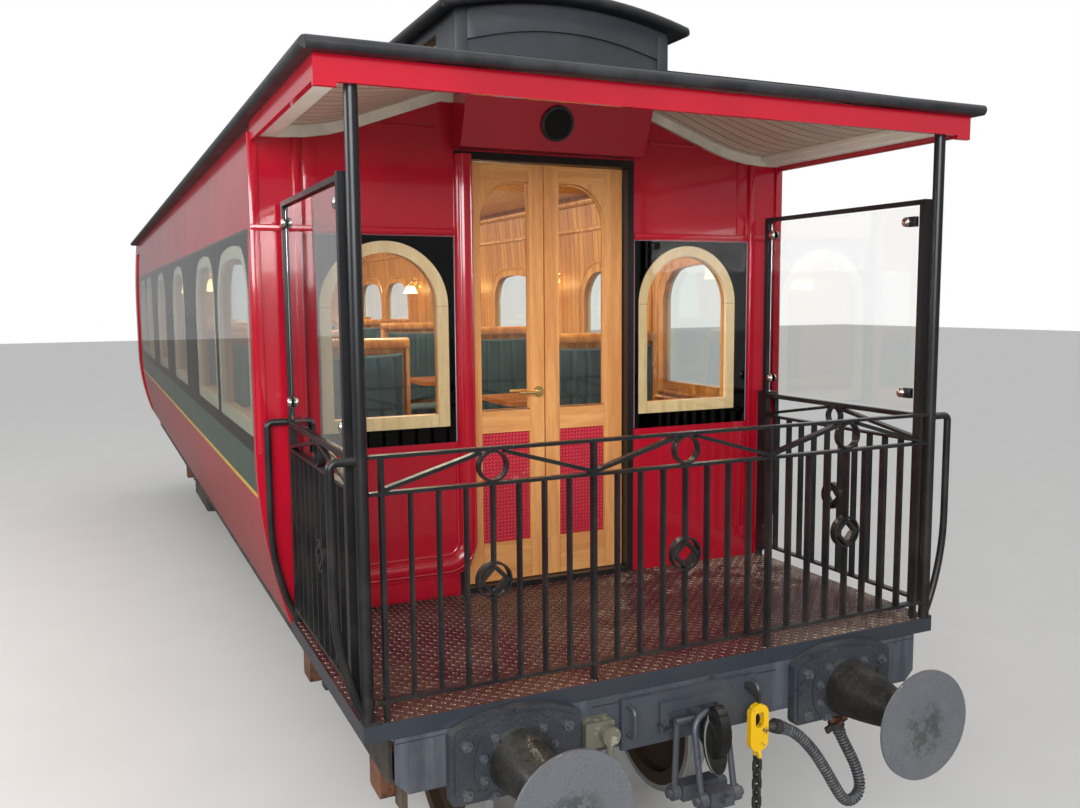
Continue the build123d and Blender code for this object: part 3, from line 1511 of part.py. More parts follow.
# Gear hung under the floor: battery boxes, an air reservoir and the brake cylinder
battery_l = 1100
battery_w = 420
battery_high = 330
battery_y = 1300
battery_gap = 4
battery_corner_r = 30
tank_y = -1800
tank_in = 465
cylinder_in = 515
tanks = (
    # across, radius, length
    (tank_in - beam_half_w, 170, 1000),
    (beam_half_w - cylinder_in, 150, 480),
)
hanger_t = 24
hanger_share = 1.2
with BuildPart() as underfloor_gear:
    for side in (-1, 1):
        with BuildSketch(level(bearer_low_h)):
            with Locations((side * (beam_half_w - sill_w - battery_w / 2 - battery_gap), battery_y)):
                RectangleRounded(battery_w, battery_l, battery_corner_r)
        extrude(amount=-battery_high)
    for x, r, length in tanks:
        axis_h = beam_low_h - r
        with BuildSketch(across(tank_y + length / 2)):
            with Locations((x, axis_h)):
                Circle(r)
        extrude(amount=length)
        for way in (-1, 1):
            with BuildSketch(across(tank_y + way * length / 4 + hanger_t / 2)):
                with Locations((x, (axis_h + beam_high_h) / 2)):
                    Rectangle(hanger_share * r, beam_high_h - axis_h)
            extrude(amount=hanger_t)
underfloor_gear.part.label = "underfloor_gear"
export_step(underfloor_gear.part, "parts/underfloor_gear.step")

# Brake pipe under the front headstock, with the bracket that parks the hose's other end
pipe_r = 21
pipe_x = 335
pipe_gap = 4
pipe_h = beam_low_h - pipe_gap - pipe_r
pipe_l = 700
face_front = post_y - headstock_y
hose_route = (
    # x, distance in front of the posts, height above the deck
    (385, 100, -297), (434, 102, -316), (497, 105, -364), (560, 110, -437), (612, 116, -516),
    (658, 122, -596), (703, 125, -665), (750, 122, -680), (797, 112, -663), (814, 101, -620),
    (794, 90, -545), (762, 79, -478), (736, 70, -425), (717, 63, -376),
)
hose_r = 24
hose_points = [Vector(x, post_y - out, deck_z + h) for x, out, h in hose_route]
exit_way = (hose_points[1] - hose_points[0]).normalized()
end_way = (hose_points[-1] - hose_points[-2]).normalized()
nut_l = 30
nut_proud = 5
pipe_bend_r = 30
pipe_hanger_w = 30
bracket_x = 706
bracket_w = 50
bracket_t = 12
bracket_out = 39
bracket_low_h = -360
bracket_bed = 80
bracket_in = 2
coupler_r = hose_r + 8
coupler_t = 26
claw_half_w = 58
claw_w = 14
with BuildPart() as brake_pipes:
    pipe_exit = hose_points[0] - exit_way * nut_l / 2
    with BuildLine() as run:
        FilletPolyline((pipe_x, face_front + pipe_l, deck_z + pipe_h), (pipe_x, pipe_exit.Y, deck_z + pipe_h),
                       pipe_exit, radius=pipe_bend_r)
    with BuildSketch(Plane(origin=run.line @ 0, z_dir=run.line % 0)):
        Circle(pipe_r)
    sweep(path=run.line)
    with BuildSketch(Plane(origin=hose_points[0], z_dir=-exit_way)):
        Circle(hose_r + nut_proud)
    extrude(amount=nut_l)
    with BuildSketch(along(pipe_x - pipe_r)):
        with Locations((bearer_ys[0], (pipe_h + bearer_low_h) / 2)):
            Rectangle(pipe_hanger_w, bearer_low_h - pipe_h)
    extrude(amount=2 * pipe_r)
    with BuildSketch(along(bracket_x - bracket_w / 2)):
        with BuildLine() as strap:
            step_h = base_low_h - gap
            outer_line = ((-bracket_bed, beam_low_h), (-bracket_in, beam_low_h), (-bracket_in, step_h),
                          (bracket_out, step_h), (bracket_out, bracket_low_h))
            inner_line = ((bracket_out - bracket_t, bracket_low_h),
                          (bracket_out - bracket_t, step_h - bracket_t),
                          (-bracket_in - bracket_t, step_h - bracket_t),
                          (-bracket_in - bracket_t, beam_low_h - bracket_t),
                          (-bracket_bed, beam_low_h - bracket_t))
            Polyline(*[(face_front - out, h) for out, h in outer_line + inner_line], close=True)
        make_face(strap.edges())
    extrude(amount=bracket_w)
    with BuildSketch(Plane(origin=hose_points[-1], x_dir=(1, 0, 0), z_dir=end_way)):
        Circle(coupler_r)
        Rectangle(2 * claw_half_w, claw_w)
    extrude(amount=coupler_t)
brake_pipes.part.label = "brake_pipes"
export_step(brake_pipes.part, "parts/brake_pipes.step")

# Brake hose: one tube from the pipe round to the bracket
bend_share = 0.45
corner_radii = []
for before, at, after in zip(hose_points, hose_points[1:], hose_points[2:]):
    turn = radians((at - before).get_angle(after - at))
    shorter = min((at - before).length, (after - at).length)
    corner_radii.append(bend_share * shorter / tan(turn / 2))
print("hose radii", [round(r) for r in corner_radii])
with BuildPart() as brake_hose:
    with BuildLine() as route:
        FilletPolyline(*hose_points, radius=corner_radii)
    with BuildSketch(Plane(origin=hose_points[0], z_dir=exit_way)):
        Circle(hose_r)
    sweep(path=route.line)
route_l = sum(edge.length for edge in route.edges())
volume_share = brake_hose.part.volume / (route_l * pi * hose_r ** 2)
print("hose length", round(route_l), "volume share", round(volume_share, 4))
brake_hose.part.label = "brake_hose"
export_step(brake_hose.part, "parts/brake_hose.step")

# Jumper socket on the headstock: a box with a hinged cap and a short tail of cable gland
socket_x = -416
socket_w = 118
socket_h = -172
socket_high = 96
socket_d = 60
socket_corner_r = 10
cap_r = 36
cap_t = 34
cap_right = 30
gland_r = 15
gland_l = 70
gland_drop = 20
with BuildPart() as jumper_socket:
    with BuildSketch(across(face_front)):
        with Locations((socket_x, socket_h)):
            RectangleRounded(socket_w, socket_high, socket_corner_r)
    extrude(amount=socket_d)
    with BuildSketch(across(face_front - socket_d)):
        with Locations((socket_x + cap_right, socket_h)):
            Circle(cap_r)
    extrude(amount=cap_t)
    with BuildSketch(level(socket_h - gland_drop)):
        with Locations((socket_x + cap_right, face_front - socket_d - cap_t / 2)):
            Circle(gland_r)
    extrude(amount=-gland_l)
jumper_socket.part.label = "jumper_socket"
export_step(jumper_socket.part, "parts/jumper_socket.step")

# Safety chain: an eye on the draw plate, a clevis hook and a hanging chain
eye_x = 255
eye_high_h = -105
eye_drop = 24
knee_drop = 40
tongue_low_h = -200
clevis_w = 84
clevis_t = 26
clevis_high_h = -165
clevis_low_h = -352
clevis_corner_r = 38
clevis_eye_w = 40
clevis_eye_high = 64
clevis_eye_h = -225
clevis_eye_r = 18
tongue_t = 24
link_l = 62
link_w = 40
link_t = 11
link_play = 3
link_bite = 4
link_ease = 0.5
link_count = 9
chain_out = 102
chain_y = face_front - chain_out
with BuildPart() as safety_chain:
    with BuildSketch(along(eye_x - link_t / 2)):
        with BuildLine():
            plate_face = face_front - draw_plate_t
            Polyline((plate_face, eye_high_h), (plate_face, eye_high_h - eye_drop),
                     (chain_y + tongue_t / 2, eye_high_h - knee_drop),
                     (chain_y + tongue_t / 2, tongue_low_h), (chain_y - tongue_t / 2, tongue_low_h),
                     (chain_y - tongue_t / 2, eye_high_h - eye_drop + link_bite), close=True)
        make_face()
    extrude(amount=link_t)
    with BuildSketch(across(chain_y + clevis_t / 2)):
        with Locations((eye_x, (clevis_high_h + clevis_low_h) / 2)):
            RectangleRounded(clevis_w, clevis_high_h - clevis_low_h, clevis_corner_r)
        with Locations((eye_x, clevis_eye_h)):
            RectangleRounded(clevis_eye_w, clevis_eye_high, clevis_eye_r, mode=Mode.SUBTRACT)
    extrude(amount=clevis_t)
    pitch = link_l - 2 * link_t - link_play
    for n in range(link_count):
        middle = clevis_low_h + link_bite - link_l / 2 - n * pitch
        plane = across(chain_y + link_t / 2) if n % 2 else along(eye_x - link_t / 2)
        centre = eye_x if n % 2 else chain_y
        with BuildSketch(plane):
            with Locations((centre, middle)):
                RectangleRounded(link_w, link_l, link_w / 2 - link_ease)
                RectangleRounded(link_w - 2 * link_t, link_l - 2 * link_t, link_w / 2 - link_t - link_ease,
                                 mode=Mode.SUBTRACT)
        extrude(amount=link_t)
safety_chain.part.label = "safety_chain"
export_step(safety_chain.part, "parts/safety_chain.step")
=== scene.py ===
from math import atan2, cos, pi, radians, sin, sqrt

import bmesh
import bpy
from mathutils import Matrix, Vector


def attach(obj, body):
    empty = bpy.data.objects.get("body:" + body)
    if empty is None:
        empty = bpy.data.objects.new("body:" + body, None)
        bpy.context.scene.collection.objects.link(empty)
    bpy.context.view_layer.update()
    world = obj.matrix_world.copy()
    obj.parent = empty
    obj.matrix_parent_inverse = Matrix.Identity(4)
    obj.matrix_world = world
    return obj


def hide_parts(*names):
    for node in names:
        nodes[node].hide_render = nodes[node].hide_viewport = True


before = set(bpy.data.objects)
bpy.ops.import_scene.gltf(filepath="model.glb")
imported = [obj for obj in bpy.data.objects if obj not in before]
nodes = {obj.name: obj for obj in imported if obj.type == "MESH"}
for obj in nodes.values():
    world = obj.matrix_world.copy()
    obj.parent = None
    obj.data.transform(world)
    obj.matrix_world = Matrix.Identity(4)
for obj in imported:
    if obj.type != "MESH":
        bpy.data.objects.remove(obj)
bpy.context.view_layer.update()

scene = bpy.context.scene

# Sizes of the coach in metres. h is a height over the balcony deck; y runs from the balcony to the rear.
deck = 1.128
posts_y, wall_y, wall_back_y = -5.5505, -4.3505, -4.3005
partition_y, rear_y, beam_y = 4.3505, 5.5505, 5.5805
waist_h, lean_h, band_top_h = 0.744, 1.300, 1.700
half_w, side_t = 1.395, 0.055
tumblehome_r, lean_r = 2.455, 8.790
window_ys = ((-3.752, 0.5425), (-2.607, 0.4905), (-0.869, 0.4905), (0.869, 0.4905), (2.607, 0.4905),
             (3.752, 0.5425))
window_low_h, window_spring_h, window_corner_r = 0.813, 1.362, 0.286
panel_joint_ys = (-3.1535, -2.0605, -1.4155, -0.3225, 0.3225, 1.4155, 2.0605, 3.1535)
pier_ys = (-1.738, 0.0, 1.738)
front_window_x = 0.803
leaf_inner, leaf_outer, leaf_middle, leaf_face_y = 0.080, 0.333, 0.2065, -4.2925
kick_low_h, kick_high_h, light_low_h, light_high_h = 0.220, 0.760, 0.865, 1.957
buffer_x = 0.735
axle_ys, axle_z = (-4.45, -2.95, 2.95, 4.45), 0.388
coach = "coach_body"
sides = ((-1, "left"), (1, "right"))


def side_x(h, depth=0.0):
    """Half-width of the body at a height, less a depth under its outside."""
    if h < waist_h:
        return half_w - tumblehome_r + sqrt((tumblehome_r - depth) ** 2 - (waist_h - h) ** 2)
    if h > lean_h:
        return half_w - lean_r + sqrt((lean_r - depth) ** 2 - (h - lean_h) ** 2)
    return half_w - depth


# Camera at the photograph's place, left of the balcony and a little above the rail
cam_yaw, cam_pitch, cam_roll = 0.4352, 0.1079, -0.00789
ahead = Vector((sin(cam_yaw) * cos(cam_pitch), cos(cam_yaw) * cos(cam_pitch), -sin(cam_pitch)))
flat_right = Vector((cos(cam_yaw), -sin(cam_yaw), 0))
flat_up = flat_right.cross(ahead)
cam_right = flat_right * cos(cam_roll) + flat_up * sin(cam_roll)
cam_up = flat_up * cos(cam_roll) - flat_right * sin(cam_roll)
lens = bpy.data.cameras.new("corner_view")
lens.sensor_width = 36
lens.lens = 32.515
lens.clip_end = 200
camera = bpy.data.objects.new("corner_view", lens)
turn = Matrix((cam_right, cam_up, -ahead)).transposed().to_4x4()
camera.matrix_world = Matrix.Translation((-2.035, -8.6245, 2.532)) @ turn
scene.collection.objects.link(camera)
scene.camera = camera
scene.view_settings.view_transform = "Standard"


# Node work: the few words that every finish and every tree is written with
class Wire:
    """One output of a node. Arithmetic on it places Math nodes in the same tree."""

    def __init__(self, tree, outputs, out=0):
        self.tree, self.outputs, self.socket = tree, outputs, outputs[out]

    def __getitem__(self, out):
        return Wire(self.tree, self.outputs, out)

    def math(self, operation, *others):
        return put(self.tree, "ShaderNodeMath", dict(enumerate((self, *others))), operation=operation)

    def __rsub__(self, other):
        return put(self.tree, "ShaderNodeMath", {0: other, 1: self}, operation="SUBTRACT")

    def __abs__(self):
        return self.math("ABSOLUTE")

    def held(self):
        """The same sum, held between 0 and 1."""
        self.socket.node.use_clamp = True
        return self

    def between(self, low, high):
        """1 where the value lies between low and high, else 0."""
        return self.math("COMPARE", (low + high) / 2, (high - low) / 2)

    def fade(self, start, end, low=0.0, high=1.0):
        """A soft step from low to high as the value goes from start to end."""
        return put(self.tree, "ShaderNodeMapRange", {0: self, 1: start, 2: end, 3: low, 4: high},
                   interpolation_type="SMOOTHSTEP")


# On masks, & is both and | is either
for word, operation in (("add", "ADD"), ("radd", "ADD"), ("sub", "SUBTRACT"), ("mul", "MULTIPLY"),
                        ("rmul", "MULTIPLY"), ("truediv", "DIVIDE"), ("mod", "MODULO"), ("lt", "LESS_THAN"),
                        ("gt", "GREATER_THAN"), ("and", "MULTIPLY"), ("or", "MAXIMUM"), ("ror", "MAXIMUM")):
    setattr(Wire, f"__{word}__", lambda self, other, kind=operation: self.math(kind, other))


def feed(tree, sockets, values):
    """Give sockets their values: a wire is linked, anything else is written in."""
    for name, value in values.items():
        if isinstance(value, Wire):
            tree.links.new(value.socket, sockets[name])
        else:
            sockets[name].default_value = value


def put(tree, kind, feeds=None, out=0, **settings):
    """Place a node, set it, feed its inputs, and hand on one of its outputs."""
    node = tree.nodes.new(kind)
    for name, value in settings.items():
        setattr(node, name, value)
    feed(tree, node.inputs, feeds or {})
    return Wire(tree, node.outputs, out)


def tone(red, green, blue):
    """A screen colour as a shader colour."""
    parts = (c / 255 for c in (red, green, blue))
    return (*[c / 12.92 if c <= 0.04045 else ((c + 0.055) / 1.055) ** 2.4 for c in parts], 1.0)


def mix(mask, first, second, kind="MIX"):
    """The first colour where the mask is 0, the second where it is 1."""
    tree = next(value.tree for value in (mask, first, second) if isinstance(value, Wire))
    return put(tree, "ShaderNodeMix", {0: mask, 6: first, 7: second}, 2, data_type="RGBA", blend_type=kind)


def squares(u, v):
    """The square of a distance, from its two parts."""
    return u * u + v * v


def speckle(place, scale, detail=3.0, rough=0.5, stretch=None):
    """Noise over a place."""
    if stretch:
        place = put(place.tree, "ShaderNodeMapping", {0: place, 3: stretch})
    return put(place.tree, "ShaderNodeTexNoise",
               {"Vector": place, "Scale": scale, "Detail": detail, "Roughness": rough})


def where(tree):
    """The object's own coordinates, whole and as x, y and height above the deck."""
    place = put(tree, "ShaderNodeTexCoord", out="Object")
    x, y, z = put(tree, "ShaderNodeSeparateXYZ", {0: place})
    return place, x, y, z - deck


def facing(tree):
    """The way a face looks, as x, y and z."""
    return put(tree, "ShaderNodeSeparateXYZ", {0: put(tree, "ShaderNodeNewGeometry", out="Normal")})


def new_group(kind, name, inputs, outputs):
    """A node group whose named sockets have the kinds of their values, or the kind that is written."""
    group = bpy.data.node_groups.new(name, kind)
    for way, sockets in (("INPUT", inputs), ("OUTPUT", outputs)):
        for socket, value in sockets.items():
            kinds = {str: value, int: "Int", float: "Float"}
            made = group.interface.new_socket(socket, in_out=way, socket_type="NodeSocket" + kinds.get(
                type(value), "Color" if len(str(value).split(",")) == 4 else "Vector"))
            if way == "INPUT" and not isinstance(value, str):
                made.default_value = value
    given = Wire(group, group.nodes.new("NodeGroupInput").outputs)
    return group, given, group.nodes.new("NodeGroupOutput").inputs


grey_half, black = (0.5, 0.5, 0.5, 1), (0, 0, 0, 1)

# Worn paint: chips and rubbed patches of a second colour, with a faint unevenness in the first
worn_paint, given, end = new_group("ShaderNodeTree", "Worn paint", {
    "Paint": grey_half, "Bare": (0.3, 0.3, 0.3, 1), "Scale": 3.0, "Wear": 0.2},
    {"Colour": black, "Bared": 0.0, "Height": 0.0})
spot = where(worn_paint)[0]
patches = speckle(spot, given["Scale"], 8, 0.65)
chips = speckle(spot, given["Scale"] * 7.0, 4, 0.6)
edge = 0.78 - given["Wear"] * 0.5
bared = (patches * 0.7 + chips * 0.3).fade(edge, edge + 0.04)
uneven = speckle(spot, 1.7).fade(0.3, 0.7, 0.86, 1.08)
shade = put(worn_paint, "ShaderNodeCombineColor", {0: uneven, 1: uneven, 2: uneven})
painted = mix(1.0, given["Paint"], shade, "MULTIPLY")
feed(worn_paint, end, {"Colour": mix(bared, painted, given["Bare"]), "Bared": bared, "Height": 1.0 - bared})

# Brushed or sprayed skin: orange peel in the height and the roughness
paint_skin, given, end = new_group("ShaderNodeTree", "Paint skin", {
    "Scale": 220.0, "Rough": 0.3, "Spread": 0.08}, {"Roughness": 0.0, "Height": 0.0})
spot = where(paint_skin)[0]
smear = speckle(spot, 4.0, 5, 0.6)
feed(paint_skin, end, {"Roughness": (given["Rough"] + (smear - 0.5) * (given["Spread"] * 2.0)).held(),
                       "Height": speckle(spot, given["Scale"], 2)})

# Settled dust: on what faces up, and thicker the lower it lies
settled_dust, given, end = new_group("ShaderNodeTree", "Settled dust", {
    "Colour": grey_half, "Dust": tone(150, 138, 120), "Amount": 0.4, "Top": 1.2},
    {"Colour": black, "Dusty": 0.0})
spot, *_, h = where(settled_dust)
on_top = facing(settled_dust)[2].fade(0.2, 0.95)
low_down = put(settled_dust, "ShaderNodeMapRange", {0: h, 1: given["Top"], 2: -1.0, 3: 0.0, 4: 0.8})
dusty = (on_top | low_down) & speckle(spot, 5.0, 8, 0.65).fade(0.36, 0.68) & given["Amount"]
feed(settled_dust, end, {"Colour": mix(dusty, given["Colour"], given["Dust"]), "Dusty": dusty})

# Timber: long figure between two colours, with fine pores
timber, given, end = new_group("ShaderNodeTree", "Timber", {
    "Pale": (0.6, 0.4, 0.2, 1), "Dark": (0.4, 0.25, 0.1, 1), "Place": (0, 0, 0), "Stretch": (1, 1, 0.1),
    "Scale": 9.0}, {"Colour": black, "Height": 0.0})
along = put(timber, "ShaderNodeMapping", {0: given["Place"], 3: given["Stretch"]})
rings = (speckle(along, given["Scale"] * 0.35) * 9.0).math("FRACT")
figure = abs(rings - 0.5).fade(0.05, 0.5)
pores = speckle(along, given["Scale"] * 14.0, 2).fade(0.42, 0.60)
mellow = speckle(along, given["Scale"] * 0.12, 2).fade(0.35, 0.65)
shade = figure * 0.45 + (pores * 0.25 + mellow * 0.30)
feed(timber, end, {"Colour": mix(shade, given["Dark"], given["Pale"]), "Height": shade})

# Boards laid side by side: 1 in the groove between two, and a value for each board
boards, given, end = new_group("ShaderNodeTree", "Boards", {"Across": 0.0, "Pitch": 0.1, "Groove": 0.04},
                               {"Groove": 0.0, "Board": 0.0})
step = given["Across"] / given["Pitch"]
board = put(boards, "ShaderNodeTexWhiteNoise", {"W": step.math("FLOOR")}, noise_dimensions="1D")
feed(boards, end, {"Groove": abs(step.math("FRACT") - 0.5) > 0.5 - given["Groove"], "Board": board})


class Finish:
    """A material in the making, and the coordinates that its patterns read."""

    def __init__(self, name, **constants):
        self.material = bpy.data.materials.new(name)
        self.material.use_nodes = True
        self.tree = self.material.node_tree
        self.sockets = self.tree.nodes["Principled BSDF"].inputs
        feed(self.tree, self.sockets, {socket.replace("_", " "): value for socket, value in constants.items()})
        self.place, self.x, self.y, self.h = where(self.tree)

    def use(self, group, **values):
        return put(self.tree, "ShaderNodeGroup", values, node_tree=group)

    def paint(self, paint, bare, scale, wear):
        return self.use(worn_paint, Paint=paint, Bare=bare, Scale=scale, Wear=wear)

    def wood(self, pale, dark, stretch, scale=9.0):
        return self.use(timber, Pale=pale, Dark=dark, Place=self.place, Stretch=stretch, Scale=scale)

    def dust(self, colour, dust, amount, top):
        return self.use(settled_dust, Colour=colour, Dust=dust, Amount=amount, Top=top)

    def skin(self, scale, rough, spread):
        return self.use(paint_skin, Scale=scale, Rough=rough, Spread=spread)

    def done(self, colour, roughness, height=None, depth=0.0, **more):
        """Lead colour, roughness (a wire, or the values of a paint skin) and relief to the shader."""
        if isinstance(roughness, tuple):
            roughness = self.skin(*roughness)["Roughness"]
        values = {"Base Color": colour, "Roughness": roughness}
        if height:
            values["Normal"] = put(self.tree, "ShaderNodeBump", {"Strength": 1.0, "Distance": depth,
                                                                 "Height": height})
        values.update({socket.replace("_", " "): value for socket, value in more.items()})
        feed(self.tree, self.sockets, values)
        return self.material


def painted_finish(name, paint, bare, wear, rough, spread, dust=0.0, dust_top=1.2, scale=3.0,
                   dust_tone=tone(150, 138, 120), peel=220.0, peel_depth=0.0004, **constants):
    """Paint with wear, orange peel and dust, for ironwork and panels."""
    made = Finish(name, **constants)
    coat, skin = made.paint(paint, bare, scale, wear), made.skin(peel, rough, spread)
    colour, roughness = coat["Colour"], (skin["Roughness"] + coat["Bared"] * 0.2).held()
    if dust:
        film = made.dust(colour, dust_tone, dust, dust_top)
        colour, roughness = film["Colour"], (roughness + film["Dusty"] * 0.4).held()
    return made.done(colour, roughness, skin["Height"] * 0.3 + coat["Height"], peel_depth)


crimson_tone, crimson_dark = tone(176, 14, 38), tone(134, 9, 24)
honey_pale, honey_dark = tone(232, 170, 104), tone(204, 132, 72)
cabin_pale, cabin_dark = tone(222, 164, 84), tone(160, 96, 38)
pane_black = tone(16, 16, 18)
body_dust = tone(140, 112, 100)
roof_tone, roof_worn, roof_dust = tone(34, 35, 38), tone(92, 98, 108), tone(84, 87, 92)
upright_grain, level_grain = (1, 1, 0.08), (0.08, 1, 1)


def timber_finish(name, pale, dark, **constants):
    """Varnished timber with upright grain."""
    made = Finish(name, **constants)
    grain = made.wood(pale, dark, upright_grain)
    return made.done(grain["Colour"], (60.0, 0.35, 0.08), grain["Height"], 0.0003)


# Finishes of the carriage body: gloss crimson outside, varnished pine boarding inside
def body_finish(name, axis, pane=None, livery=False, seams=(), all_timber=False):
    """Body panel: painted on the face that looks out along the axis, boarded on the one that looks in."""
    made = Finish(name, Coat_Roughness=0.06)
    across, along = (made.x, made.y) if axis == 0 else (made.y, made.x)
    inside = 1.0 if all_timber else across.math("SIGN") * facing(made.tree)[axis] < -0.3
    outside = 1.0 - inside
    colour = made.paint(crimson_tone, crimson_dark, 2.0, 0.08)["Colour"]
    if livery:
        for low, high, band in ((0.565, waist_h, tone(14, 66, 52)), (0.543, 0.565, tone(232, 190, 40)),
                                (waist_h - 0.006, band_top_h + 0.012, pane_black)):
            colour = mix(made.h.between(low, high), colour, band)
    if pane:
        low, high, inner, outer = pane
        colour = mix(made.h.between(low, high) & abs(made.x).between(inner, outer), colour, pane_black)
    line = 0.0
    for seam in seams:
        line = line | made.y.between(seam - 0.0035, seam + 0.0035)
    if seams:
        colour = mix(line * 0.75, colour, tone(44, 8, 14))
    film = made.dust(colour, body_dust, 0.12, 0.25)
    lining = made.use(boards, Across=along + 30.0, Pitch=0.075, Groove=0.045)
    grain = made.wood(cabin_pale, cabin_dark, (1, 1, 0.06), 8.0)
    boarded = mix(lining["Board"] * 0.35, grain["Colour"], cabin_dark)
    boarded = mix(lining["Groove"], boarded, tone(90, 45, 14))
    skin = made.skin(160.0, 0.16, 0.10)
    relief = skin["Height"] * 0.1 - (lining["Groove"] * inside | outside * line)
    return made.done(mix(inside, film["Colour"], boarded), skin["Roughness"] * outside + inside * 0.42,
                     relief, 0.0012, Coat_Weight=outside * 0.6)


crimson = painted_finish("crimson gloss", crimson_tone, crimson_dark, 0.06, 0.16, 0.10, 0.12, 0.25, 2.0,
                         body_dust, 160.0, 0.0002, Coat_Weight=0.6, Coat_Roughness=0.06)
crimson_side = body_finish("crimson side with bands", 0, livery=True, seams=(*panel_joint_ys, -4.349, 4.349))
crimson_end = body_finish("crimson end with glass panels", 1, pane=(0.738, 1.690, 0.478, 1.170))
crimson_rear = body_finish("crimson rear wall", 1)
crimson_doors = body_finish("crimson vestibule door", 0)
cabin_boarding = body_finish("cabin boarding", 1, all_timber=True)
gutter_black = painted_finish("roof black", roof_tone, roof_worn, 0.18, 0.42, 0.12, 0.45, 9.0, 4.0, roof_dust)
slate_panel = painted_finish("slate panel", tone(52, 55, 60), tone(44, 47, 52), 0.2, 0.45, 0.1, 0.25, 4.0,
                             2.0, tone(120, 124, 130))
ironwork = painted_finish("satin black ironwork", roof_tone, tone(120, 120, 118), 0.24, 0.30, 0.12, 0.3, 1.4,
                          6.0, tone(128, 118, 104), 300.0, 0.0005, Metallic=0.35)
frame_black = painted_finish("door frame black", tone(20, 20, 22), tone(96, 96, 98), 0.2, 0.34, 0.1, 0.2,
                             0.4, 7.0)
under_black = painted_finish("underframe black", tone(38, 36, 35), tone(84, 58, 42), 0.3, 0.62, 0.12, 0.75,
                             0.4, 4.0, tone(112, 94, 76), 120.0, 0.001)
rusty_iron = painted_finish("rusty iron", tone(104, 62, 40), tone(62, 42, 32), 0.5, 0.72, 0.1, 0.4, 0.4, 9.0,
                            tone(134, 106, 84), 160.0, 0.001)
bolt_steel = painted_finish("worn bolt steel", tone(150, 154, 160), tone(70, 70, 72), 0.3, 0.34, 0.12, 0.35,
                            0.2, 20.0, tone(132, 128, 120), 260.0, 0.0004, Metallic=0.7)
bolt_grey = painted_finish("weathered bolt grey", tone(98, 102, 109), tone(160, 158, 150), 0.36, 0.36, 0.12,
                           0.35, 0.2, 30.0, tone(122, 112, 100), 260.0, 0.0004, Metallic=0.5)
bright_steel = painted_finish("bright button steel", tone(214, 210, 204), tone(160, 156, 150), 0.2, 0.18,
                              0.08, scale=20.0, Metallic=1.0)
brass = painted_finish("polished brass", tone(244, 212, 140), tone(206, 166, 92), 0.2, 0.2, 0.1, scale=14.0,
                       Metallic=0.85)
box_khaki = painted_finish("socket khaki", tone(112, 110, 95), tone(156, 152, 138), 0.42, 0.44, 0.1, 0.4,
                           0.2, 12.0, tone(150, 142, 124), Metallic=0.3)
cream_trim = painted_finish("cream trim", tone(232, 224, 210), tone(206, 192, 172), 0.15, 0.42, 0.08, 0.1,
                            9.0, 3.0)
honey_pine = timber_finish("honey pine", honey_pale, honey_dark)
cabin_pine = timber_finish("cabin pine", cabin_pale, cabin_dark, Coat_Weight=0.3, Coat_Roughness=0.1)


def door_finish():
    """Door leaf: upright stiles, level rails, fine joints where they meet, and the crimson recess."""
    made = Finish("honey pine door", Coat_Weight=0.25, Coat_Roughness=0.15)
    reach, h = abs(made.x), made.h
    upright = made.wood(honey_pale, honey_dark, upright_grain)
    level = made.wood(honey_pale, honey_dark, level_grain)
    rails = (h.between(0.0, kick_low_h) | h.between(kick_high_h, light_low_h)
             | h.between(light_high_h, 2.1))
    colour = mix(reach.between(leaf_inner, leaf_outer) & rails, upright["Colour"], level["Colour"])
    joint = (abs(reach - leaf_inner) < 0.0007) | (abs(reach - leaf_outer) < 0.0007)
    joint = joint & rails
    colour = mix(joint * 0.55, colour, tone(110, 66, 28))
    recess = reach.between(leaf_inner - 0.0005, leaf_outer + 0.0005)
    recess = recess & h.between(kick_low_h - 0.0005, kick_high_h + 0.0005)
    recess = recess & made.y.between(leaf_face_y - 0.003, leaf_face_y + 0.004)
    return made.done(mix(recess, colour, crimson_tone), (60.0, 0.34, 0.08), upright["Height"] * 0.3 - joint,
                     0.0008)


def window_frame_finish(name, axis, pale, dark):
    """Window lining: pale paint or pine towards the glass, cabin pine towards the seats."""
    made = Finish(name)
    grain, inner = made.wood(pale, dark, (1, 1, 0.1)), made.wood(cabin_pale, cabin_dark, (1, 1, 0.1))
    back = abs((made.x, made.y)[axis]).fade(*((1.366, 1.362), (4.322, 4.318))[axis])
    colour = mix(back, grain["Colour"], inner["Colour"])
    if axis == 1:
        reach = abs(abs(made.x) - front_window_x)
        joint = made.h.between(1.369, 1.3715) | reach.between(0.2418, 0.2442) & made.h.between(0.80, 0.871)
        colour = mix(joint * 0.6, colour, tone(120, 80, 40))
    return made.done(colour, (60.0, 0.4, 0.08), grain["Height"], 0.0003)


def ceiling_finish(name, half_across, half_along, edge_tone, board_tone, groove_tone, pitch):
    """Roof shell or ceiling: boards seen from below within an area, another colour elsewhere."""
    made = Finish(name)
    under = (facing(made.tree)[2] < -0.3) & (abs(made.y) < half_along) & (abs(made.x) < half_across)
    laid = made.use(boards, Across=made.y + 30.0, Pitch=pitch, Groove=0.05)
    grain = made.wood(board_tone, groove_tone, level_grain, 8.0)
    boarded = mix(laid["Groove"], mix(laid["Board"] * 0.25, board_tone, grain["Colour"]), groove_tone)
    film = made.dust(made.paint(edge_tone, roof_worn, 4.0, 0.15)["Colour"], roof_dust, 0.45, 9.0)
    return made.done(mix(under, film["Colour"], boarded), (200.0, 0.45, 0.1), 1.0 - (under & laid["Groove"]),
                     0.0025)


